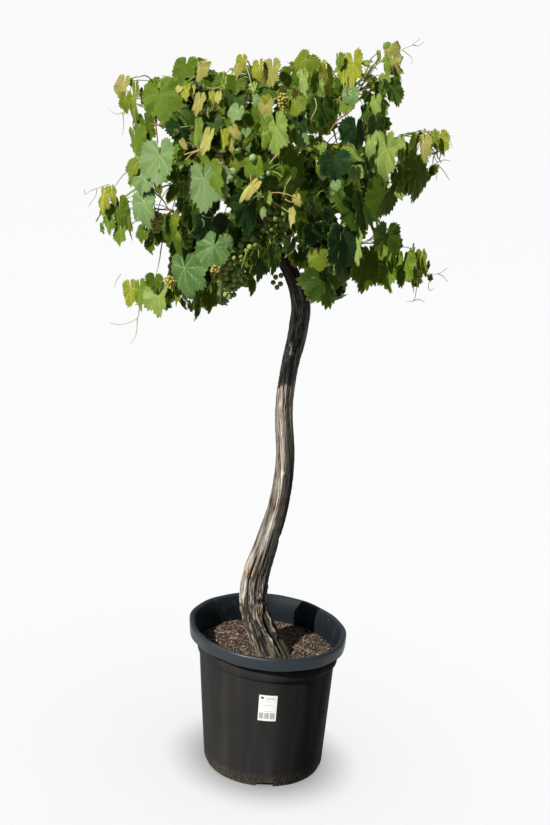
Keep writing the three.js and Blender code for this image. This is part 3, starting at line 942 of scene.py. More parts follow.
# Weathered vine bark: dry, stringy and matt. Ridges are bleached beige grey, the hollows between the
# strings are painted nearly black as painted shade, the foot is faintly green, and above 1.1 m a slaty tint
# is painted shade where the leaves shade it.
bark, tree, shader, place = new_material("weathered_vine_bark")
shader.inputs["Specular IOR Level"].default_value = 0.25
shader.inputs["Roughness"].default_value = 0.9
pale_here = add_node(tree, "ShaderNodeAttribute", attribute_name="pale").outputs["Fac"]
painted_shade_here = add_node(tree, "ShaderNodeAttribute", attribute_name="deep").outputs["Fac"]
bark_tones = add_node(tree, "ShaderNodeValToRGB", links={0: pale_here})
ramp = bark_tones.color_ramp
ramp.elements[0].position = 0.05
ramp.elements[0].color = linear("#4c4a46")
ramp.elements[1].position = 1.0
ramp.elements[1].color = linear("#d9d2c9")
for position, colour in ((0.35, "#7d7a74"), (0.62, "#a8a198")):
    ramp.elements.new(position).color = linear(colour)
height = add_node(tree, "ShaderNodeSeparateXYZ", links={0: place}).outputs["Z"]
algae_height = add_node(
    tree, "ShaderNodeMapRange",
    {"From Min": 0.36, "From Max": 0.60, "To Min": 0.55, "To Max": 0.0}, {"Value": height},
)
algae_cloud = add_node(tree, "ShaderNodeTexNoise", {"Scale": 26.0, "Detail": 4.0}, {"Vector": place})
algae = add_node(
    tree, "ShaderNodeMath", links={0: algae_height.outputs[0], 1: algae_cloud.outputs["Fac"]},
    operation="MULTIPLY",
)
greened = add_node(
    tree, "ShaderNodeMix", {7: linear("#76765c")},
    {0: algae.outputs[0], 6: bark_tones.outputs[0]}, data_type="RGBA",
)
stain_cloud = add_node(tree, "ShaderNodeTexNoise", {"Scale": 21.0, "Detail": 5.0}, {"Vector": place})
tinted = lay_over(
    tree, greened.outputs[2], "#e2d2c2", stain_cloud.outputs["Fac"], 0.45, 0.68, blend="MULTIPLY",
)
# From a height of 1.1 m a slaty tint is painted shade, where the crown shades the trunk, and it turns warm
# brown where it enters the crown.
for low, high, colour in ((1.08, 1.16, "#e2eef0"), (1.28, 1.37, "#dcb9ad")):
    tinted = lay_over(tree, tinted, colour, height, low, high, blend="MULTIPLY")
# Painted shade from the deep attribute: cracks, hollows, scars and the trunk's right side are darkened
# nearly to black.
shade_darkened = lay_over(tree, tinted, "#1c1714", painted_shade_here, most=0.93)
tree.links.new(shade_darkened, shader.inputs["Base Color"])
# The bark's threads are under 1 mm wide; drawn at about 1.5 mm so that they show.
threads = add_node(tree, "ShaderNodeMapping", {"Scale": (650.0, 650.0, 40.0)}, {"Vector": place})
raise_grain(tree, shader, threads.outputs[0], 1.0, 3.0, 0.6, 0.8 * MM)


def bark_piece(name, nodes, made):
    places, faces, pale, deep = made
    limb = smooth_piece(name, places, faces, [bark])
    for key, values in (("pale", pale), ("deep", deep)):
        limb.data.attributes.new(key, "FLOAT", "POINT").data.foreach_set("value", values)
    limb.data.update()
    finish_piece(limb, nodes)


bark_piece("vine_trunk", ["trunk"], bark_limb(
    [np.multiply(at, MM) for at, _ in TRUNK_LINE], [r * MM for _, r in TRUNK_LINE],
    TRUNK_SIDES, TRUNK_STEP, 0.0, TRUNK_RELIEF, old_trunk,
))

# ---- boughs ----
# The permanent arms that fan out from the head: short, crooked, brown, and rough where each
# winter's canes were cut back. Each tapers to where it enters the leaves.
# All in mm: the head they start from, then each one's middle, its end and its radius at both ends.
HEAD = (-86, 4, 1432)
BOUGH_SIDES = 40
BOUGH_STEP = 3 * MM
BOUGH_RELIEF = 0.55
BOUGHS = {
    "bough_left": ((-190, 10, 1470), (-292, 0, 1490), 15, 9),
    "bough_up_left": ((-130, 20, 1530), (-200, 40, 1640), 14, 8),
    "bough_up": ((-88, 30, 1540), (-70, 40, 1660), 13, 8),
    "bough_right": ((0, 20, 1490), (92, 10, 1540), 15, 9),
    "bough_front": ((-90, -60, 1480), (-100, -140, 1530), 12, 8),
    "bough_back": ((-110, 90, 1480), (-120, 175, 1530), 13, 8),
}
for order, (name, (middle, end, thick, thin)) in enumerate(BOUGHS.items()):
    bark_piece("arm_" + name.removeprefix("bough_"), [name], bark_limb(
        [np.multiply(at, MM) for at in (HEAD, middle, end)],
        [thick * MM, 0.5 * (thick + thin) * MM, thin * MM],
        BOUGH_SIDES, BOUGH_STEP, 10.0 + order, BOUGH_RELIEF,
    ))

# ---- canes ----
# This year's growth: thin shoots that leave the old arms, arch out and hang. They are brown and
# woody near the arm, then green, and each carries side shoots with a leaf at every joint.
CROWN_MIDDLE = Vector((-0.09, 0.02, 1.60))
CROWN_HALF = Vector((0.50, 0.34, 0.42))
SHOOTS = {
    "shoot_left": ((-395, -20, 1560), (-430, -22, 1540), (-462, -28, 1510)),
    "shoot_bottom_left": ((-275, -60, 1350), (-310, -52, 1332), (-345, -42, 1300)),
    "shoot_top_right": ((100, -10, 1790), (134, -6, 1818), (172, 0, 1858)),
    "shoot_top_left": ((-370, -30, 1730), (-402, -26, 1742), (-436, -22, 1752)),
    "shoot_right": ((200, -10, 1640), (240, -6, 1656), (280, 0, 1672)),
    "shoot_bottom_right": ((205, 2, 1420), (236, 6, 1414), (268, 10, 1404)),
}
CANE_THICK = 4.2 * MM
CANE_TIP = 1.8 * MM
SHOOT_THICK = 3.6 * MM
SHOOT_TIP = 1.4 * MM
SIDE_THICK = 2.2 * MM
SIDE_TIP = 1.1 * MM
CANE_SIDES = 7
SIDE_SIDES = 5
RIPENED, GREEN = 0, 1           # the two finishes of a cane, in their order
# Places where the sky shows through the crown, from in front: across, up, half width, half height.
OPEN_PLACES = [
    (-0.40, 1.732, 0.028, 0.030), (-0.374, 1.68, 0.018, 0.022), (0.09, 1.737, 0.034, 0.044),
    (0.125, 1.817, 0.016, 0.016), (-0.350, 1.523, 0.024, 0.030), (-0.215, 1.525, 0.022, 0.014),
    (0.198, 1.653, 0.018, 0.014), (0.163, 1.481, 0.012, 0.024), (-0.090, 1.357, 0.018, 0.020),
    (-0.450, 1.541, 0.020, 0.028), (-0.423, 1.443, 0.012, 0.027), (-0.429, 1.770, 0.008, 0.036),
    (0.154, 1.894, 0.008, 0.026),
]


def seen_from_front(point):
    """Where the line from a standing viewer through a point crosses the middle of the crown."""
    eye = Vector(CAMERA_PLACE)
    share = (0 - eye.y) / (point.y - eye.y)
    return eye + share * (point - eye)


def is_open(point, margin):
    seen = seen_from_front(point)
    return any(
        math.hypot((seen.x - x) / (half_x + margin), (seen.z - z) / (half_z + margin)) < 1
        for x, z, half_x, half_z in OPEN_PLACES
    )


def front_of_crown(x, z):
    """How far forward the crown's face lies at a height and place across."""
    out = ((x - CROWN_MIDDLE.x) / CROWN_HALF.x) ** 2 + ((z - CROWN_MIDDLE.z) / CROWN_HALF.z) ** 2
    return CROWN_MIDDLE.y - CROWN_HALF.y * math.sqrt(max(0.0, 1 - out))


def arch(start, end, rise, bend, count):
    """A cane's line from start to end, lifted by rise in its middle and pushed aside by bend."""
    line = []
    for i in range(count):
        t = i / (count - 1)
        hump = 4 * t * (1 - t)
        line.append(start.lerp(end, t) + hump * (Vector((0, 0, rise)) + bend))
    return line


dice = random.Random(23)
canes = Batch()
perches = []                    # the places on the canes where a stalk can begin


def scatter(spread):
    """A random way to go, of no set length."""
    return Vector([dice.gauss(0, spread) for _ in range(3)])


def grow_cane(line, thick, thin, sides, tint):
    places, faces = tube(line, np.linspace(thick, thin, len(line)), sides)
    canes.add(places, faces, tint)
    perches.extend(spot for spot in line[1:] if not is_open(spot, 0.004))


hubs = [Vector(np.multiply(end, MM)) for _, end, _, _ in BOUGHS.values()]
masses = sorted(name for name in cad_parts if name.startswith("mass_"))
TIP_OF = {
    "mass_left_tip": "shoot_left", "mass_bottom_left_tip": "shoot_bottom_left",
    "mass_top_right_tip": "shoot_top_right", "mass_top_left_tip": "shoot_top_left",
    "mass_right_tip": "shoot_right", "mass_bottom_right_tip": "shoot_bottom_right",
}
side_shoots = []
for name in masses:
    low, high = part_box(name)
    middle, half = (low + high) / 2, (high - low) / 2
    way_out = (middle - CROWN_MIDDLE).normalized()
    if name in TIP_OF:
        knots = [Vector(np.multiply(at, MM)) for at in SHOOTS[TIP_OF[name]]]
        hub = min(hubs, key=lambda spot: (spot - knots[0]).length)
        leader = arch(hub, knots[0], 0.05, Vector((0, 0.02, 0)), 10)
        grow_cane(leader, CANE_THICK, SHOOT_THICK, CANE_SIDES, RIPENED)
        reach = (knots[2] - knots[1]).normalized() * 0.7 * max(half)
        tip_line, _, _ = smooth_line([*knots, knots[2] + reach], 12)
        main = [Vector(row) for row in tip_line]
        grow_cane(main, SHOOT_THICK, SHOOT_TIP, CANE_SIDES, GREEN)
        side_count = 5
    else:
        hub = min(hubs, key=lambda spot: (spot - middle).length)
        end = middle + Vector([0.55 * h * w for h, w in zip(half, way_out)])
        bend = Vector([dice.uniform(-0.03, 0.03) for _ in range(3)])
        main = arch(hub, end, 0.04, bend, 14)
        at_back = name.startswith("mass_back")
        grow_cane(main, CANE_THICK, CANE_TIP, CANE_SIDES, RIPENED if at_back else GREEN)
        side_count = 12 if at_back else 9
    side_shoots.append((main[len(main) // 2:], middle, half))
    for number in range(side_count):
        root = main[round(len(main) * (0.45 + 0.5 * number / side_count))]
        aim = scatter(1).normalized() + 0.35 * way_out
        aim.normalize()
        end = middle + Vector([0.78 * h * a for h, a in zip(half, aim)])
        sag = dice.uniform(-0.015, 0.03)
        line = arch(root, end, sag, Vector([dice.uniform(-0.012, 0.012) for _ in range(3)]), 8)
        if any(is_open(spot, 0) for spot in line):
            continue
        grow_cane(line, SIDE_THICK, SIDE_TIP, SIDE_SIDES, GREEN)
        side_shoots.append((line, middle, half))

# ---- leaves ----
# Vine leaves: thin flat blades with five lobes, a toothed edge and a notch where the stalk joins.
# They hang from long stalks and turn their faces to the light. Old leaves are dark and bluish, young ones
# at the shoot tips yellow green, and a few on the left are drying to cream. The darkest tints are painted
# shade, for leaves that hang in shade.
# Each lobe's angle from the midrib and spread in degrees, with its length between them.
LOBES = ((0, 1.00, 22), (50, 0.92, 21), (98, 0.82, 22), (140, 0.72, 22))
NOTCH_ANGLE = 168
MOST_TURN = 0.8             # radians: a leaf that shows narrower than this gives is narrower itself
BLADE_THICK = 0.4 * MM
BIG_LEAF = 40 * MM          # a leaf longer than this has side ribs and a finer edge
RIB_ANGLES = (0, -48, 48, -96, 96, -144, 144)
RIB_SINK = 0.3 * MM         # how deep a rib's edges lie in the blade
RIB_HIGH = 0.9 * MM
STALK_THICK = 0.95 * MM
LONGEST_STALK = 0.10
GREEN_STALK, BLUSHED_STALK = 0, 1
# The shade and blue_shade tints, with their vein_shade veins, are painted shade: darker greens for leaves
# that hang in shade.
LEAF_TINTS = {
    "bloom": "#66824e", "bloom_green": "#486a2f", "fresh": "#738a40", "mid": "#5a7220",
    "olive": "#606e19", "deep": "#485e13", "shade": "#38501a", "blue_shade": "#1f381c",
    "lime": "#7c8320", "cream": "#888549", "straw": "#9a9554", "grown": "#4a671a",
    "grown_dark": "#3a5415", "grown_light": "#667f27",
}
UNDERSIDES = {"under_green": "#6b7f3c", "under_grey": "#748653", "under_yellow": "#868c42"}
VEIN_TINTS = {
    "vein_shade": "#3a5426", "vein_dark": "#4c6726", "vein_green": "#6f8a3f", "vein_grey": "#94ab79",
    "vein_yellow": "#a2aa60",
}
VEIN_OF = {
    "bloom": "vein_grey", "bloom_green": "vein_grey", "fresh": "vein_yellow", "mid": "vein_green",
    "olive": "vein_green", "deep": "vein_dark", "shade": "vein_shade", "blue_shade": "vein_shade",
    "lime": "vein_yellow", "cream": "vein_yellow", "straw": "vein_yellow",
}
TINT_NUMBER = {name: i for i, name in enumerate([*LEAF_TINTS, *UNDERSIDES, *VEIN_TINTS])}
WAXY = ("bloom", "bloom_green", "fresh")
YELLOWISH = ("lime", "cream", "straw", "olive")
SHADED = ("shade", "blue_shade")


def reach_at(angle, body):
    """How far the blade's edge is from the stalk joint, at an angle from the midrib in degrees."""
    off = abs(angle)
    full = max(
        body + (length - body) * math.exp(-((off - at) / spread) ** 2)
        for at, length, spread in LOBES
    )
    return full * (1 - 0.45 * max(0.0, (off - 122) / 50) ** 1.4)


class BladePattern:
    """
    A flat blade as rows of angle and share of the reach. bite is how far each step of one tooth
    stands out. Each inner ring has its share of the reach, and how many steps of the edge one of
    its own steps spans.
    """

    def __init__(self, step, tooth, bite, rings):
        count = round(2 * NOTCH_ANGLE / step)
        angles = [-NOTCH_ANGLE + step * i for i in range(count + 1)]
        rows = [(0.0, 0.0)]
        lines = []
        for share, span in rings:
            lines.append((span, [len(rows) + i for i in range(count // span + 1)]))
            rows += [(angles[i * span], share) for i in range(count // span + 1)]
        self.inner = len(rows)
        self.edge = [len(rows) + i for i in range(count + 1)]
        rows += [(a, 1 + tooth * bite[i % len(bite)]) for i, a in enumerate(angles)]
        lines.append((1, self.edge))
        faces = [(0, a, b) for a, b in zip(lines[0][1], lines[0][1][1:])]
        for (span, inside), (next_span, outside) in zip(lines, lines[1:]):
            ratio = span // next_span
            for i in range(len(inside) - 1):
                run = outside[i * ratio:(i + 1) * ratio + 1]
                middle = (len(run) - 1) // 2
                faces += [(inside[i], p, q) for p, q in zip(run[:middle], run[1:middle + 1])]
                faces.append((inside[i], run[middle], run[middle + 1], inside[i + 1]))
                faces += [(inside[i + 1], p, q) for p, q in zip(run[middle + 1:], run[middle + 2:])]
        self.angles, self.shares = np.array(rows).T
        self.faces = [tuple(reversed(face)) for face in faces]
        self.spokes = [[0] + [line[end] for _, line in lines] for end in (0, -1)]


FINE_BLADE = BladePattern(4.0, 0.065, (-1, 0.2, 1), [(0.28, 6), (0.60, 2), (0.82, 1)])
MIDDLE_BLADE = BladePattern(6.0, 0.07, (-1, 1), [(0.40, 4), (0.78, 2)])
PLAIN_BLADE = BladePattern(12.0, 0.08, (-1, 1), [(0.5, 2)])


class LeafForm:
    """How one leaf is bent: folded, cupped, drooping, pleated between its veins and waved."""

    def __init__(self, dice):
        self.body = dice.uniform(0.66, 0.80)
        self.fold = dice.choice([-1, 1, 1]) * dice.uniform(0.08, 0.42)
        self.curl = dice.uniform(-0.05, 0.50)
        self.droop = dice.uniform(0.0, 0.34)
        self.pleat = dice.uniform(0.05, 0.11)
        self.wave = dice.uniform(0.03, 0.10)
        self.phase = dice.uniform(0, 6.28)
        self.waves = dice.choice([3, 4, 5])
        self.skew = dice.uniform(-0.10, 0.10)
        self.narrow = dice.uniform(0.92, 1.04)

    def bent(self, angle, reach):
        """The place on the bent blade of each angle, in radians, and distance from the joint."""
        across = reach * np.sin(angle) * self.narrow
        along = reach * np.cos(angle)
        lift = (
            self.fold * np.abs(across) - self.droop * across ** 2
            - self.curl * np.where(along > 0, along, 0.4 * along) * np.abs(along)
            + self.pleat * (0.5 - 0.5 * np.cos(angle * 360 / 48)) * reach
            + self.wave * reach ** 2 * np.sin(self.waves * angle + self.phase)
        )
        return np.stack([across + self.skew * along * np.abs(along), along, lift], axis=1)


def blade_extent(form):
    """How far a flat blade reaches above its stalk joint, below it, and across, for a size of 1."""
    angles = np.arange(-NOTCH_ANGLE, NOTCH_ANGLE + 1, 4)
    reach = 1.03 * np.array([reach_at(a, form.body) for a in angles])
    along, across = reach * np.cos(np.radians(angles)), reach * np.sin(np.radians(angles))
    return -min(along), max(along), 2 * max(across) * form.narrow


def add_veins(batch, form, size, joint, turned, tint):
    """Raised ribs along the lobes, with side ribs on a big leaf, each a thin ridge on the blade."""
    big = size > BIG_LEAF
    # Each rib's angle, where it starts and ends as shares of the lobe, half width, places and lean.
    ribs = [(angle, 0.0, 0.94, 0.021, 6 if big else 4, 0.0) for angle in RIB_ANGLES]
    for angle in RIB_ANGLES[:-2] if big else ():
        for start in (0.30, 0.52, 0.70):
            ribs += [(angle, start, start + 0.27, 0.010, 3, lean) for lean in (-13, 13)]
    for angle, start, end, wide, count, lean in ribs:
        t = np.linspace(0, 1, count)
        turn = np.radians(angle + lean * t ** 0.8)
        reach = (start + (end - start) * t) * reach_at(angle, form.body)
        half = wide * (1 - 0.75 * t) / np.maximum(reach, 0.08)
        left, top, right = (form.bent(turn + off * half, reach) * size for off in (-1, 0, 1))
        left[:, 2] -= RIB_SINK
        right[:, 2] -= RIB_SINK
        top[:, 2] += RIB_HIGH - 0.5 * t * MM
        rows = np.concatenate([left, top, right]) @ turned + np.array(joint)
        twice = 2 * count
        faces = [(twice - 1, count - 1, twice + count - 1), (count, twice, 0)]
        for i in range(count - 1):
            faces.append((i, count + i, count + i + 1, i + 1))
            faces.append((count + i, twice + i, twice + i + 1, count + i + 1))
            faces.append((twice + i, i, i + 1, twice + i + 1))
        batch.add(rows, [f[::-1] for f in faces], TINT_NUMBER[tint])


def place_leaf(batch, pattern, form, size, joint, midrib, face, tint):
    """Adds one closed blade: joint, midrib and face say where its stalk joins and how it hangs."""
    midrib = midrib.normalized()
    face = (face - midrib * face.dot(midrib)).normalized()
    turned = np.array([midrib.cross(face), midrib, face])
    reach = np.array([reach_at(a, form.body) for a in pattern.angles]) * pattern.shares
    top = form.bent(np.radians(pattern.angles), reach) * size
    under = top[:pattern.inner] - (0, 0, BLADE_THICK)
    rows = np.concatenate([top, under]) @ turned + np.array(joint)
    below = [i + len(top) if i < pattern.inner else i for i in range(len(top))]
    under_faces = [tuple(below[i] for i in reversed(f)) for f in pattern.faces]
    sides = []
    for spoke, order in zip(pattern.spokes, (1, -1)):
        for a, b in zip(spoke, spoke[1:]):
            ring = [a, b, below[b], below[a]] if below[b] != b else [a, b, below[a]]
            sides.append(tuple(ring[::order]))
    under_tint = "under_yellow" if tint in YELLOWISH else dice.choice(["under_green", "under_grey"])
    batch.add(
        rows, [*pattern.faces, *under_faces, *sides],
        [TINT_NUMBER[tint]] * len(pattern.faces)
        + [TINT_NUMBER[under_tint]] * (len(under_faces) + len(sides)),
        list(zip(pattern.edge, pattern.edge[1:])),
    )
    if pattern is not PLAIN_BLADE:
        add_veins(batch, form, size, joint, turned, VEIN_OF[tint])


# Vine leaf blades, alive: the upper skin is waxy and satin, so it takes a cool sheen from the sky, and the
# underside is felted and duller. One plain colour for each age of leaf, and darker ones as painted shade
# for leaves that hang in shade.
leaf_finishes = []
for name, colour in {**LEAF_TINTS, **UNDERSIDES, **VEIN_TINTS}.items():
    finish = plain_finish("leaf_" + name, colour, 0.8 if name in UNDERSIDES else 0.5, 420, 0.25 * MM)
    skin = finish.node_tree.nodes["Principled BSDF"]
    skin.inputs["Specular IOR Level"].default_value = 0.22 if name in WAXY else 0.07
    skin.inputs["Subsurface Weight"].default_value = 0.8
    skin.inputs["Subsurface Radius"].default_value = (0.9, 1.0, 0.25)
    skin.inputs["Subsurface Scale"].default_value = 1.4 * MM
    leaf_finishes.append(finish)

stalks = Batch()


def grow_stalk(start, end, thick, tint):
    """A leaf stalk from a cane to a blade, arched, with the blade's weight on its far end."""
    span = (end - start).length
    rise = Vector((0, 0, min(0.18 * span, 0.008)))
    rise += min(0.06 * span, 0.004) * scatter(1)
    line = [start.lerp(end, t) + 4 * t * (1 - t) * rise for t in (0, 0.25, 0.5, 0.75, 1)]
    places, faces = tube(line, np.linspace(1.25 * thick, thick, 5), 5)
    stalks.add(places, faces, tint)


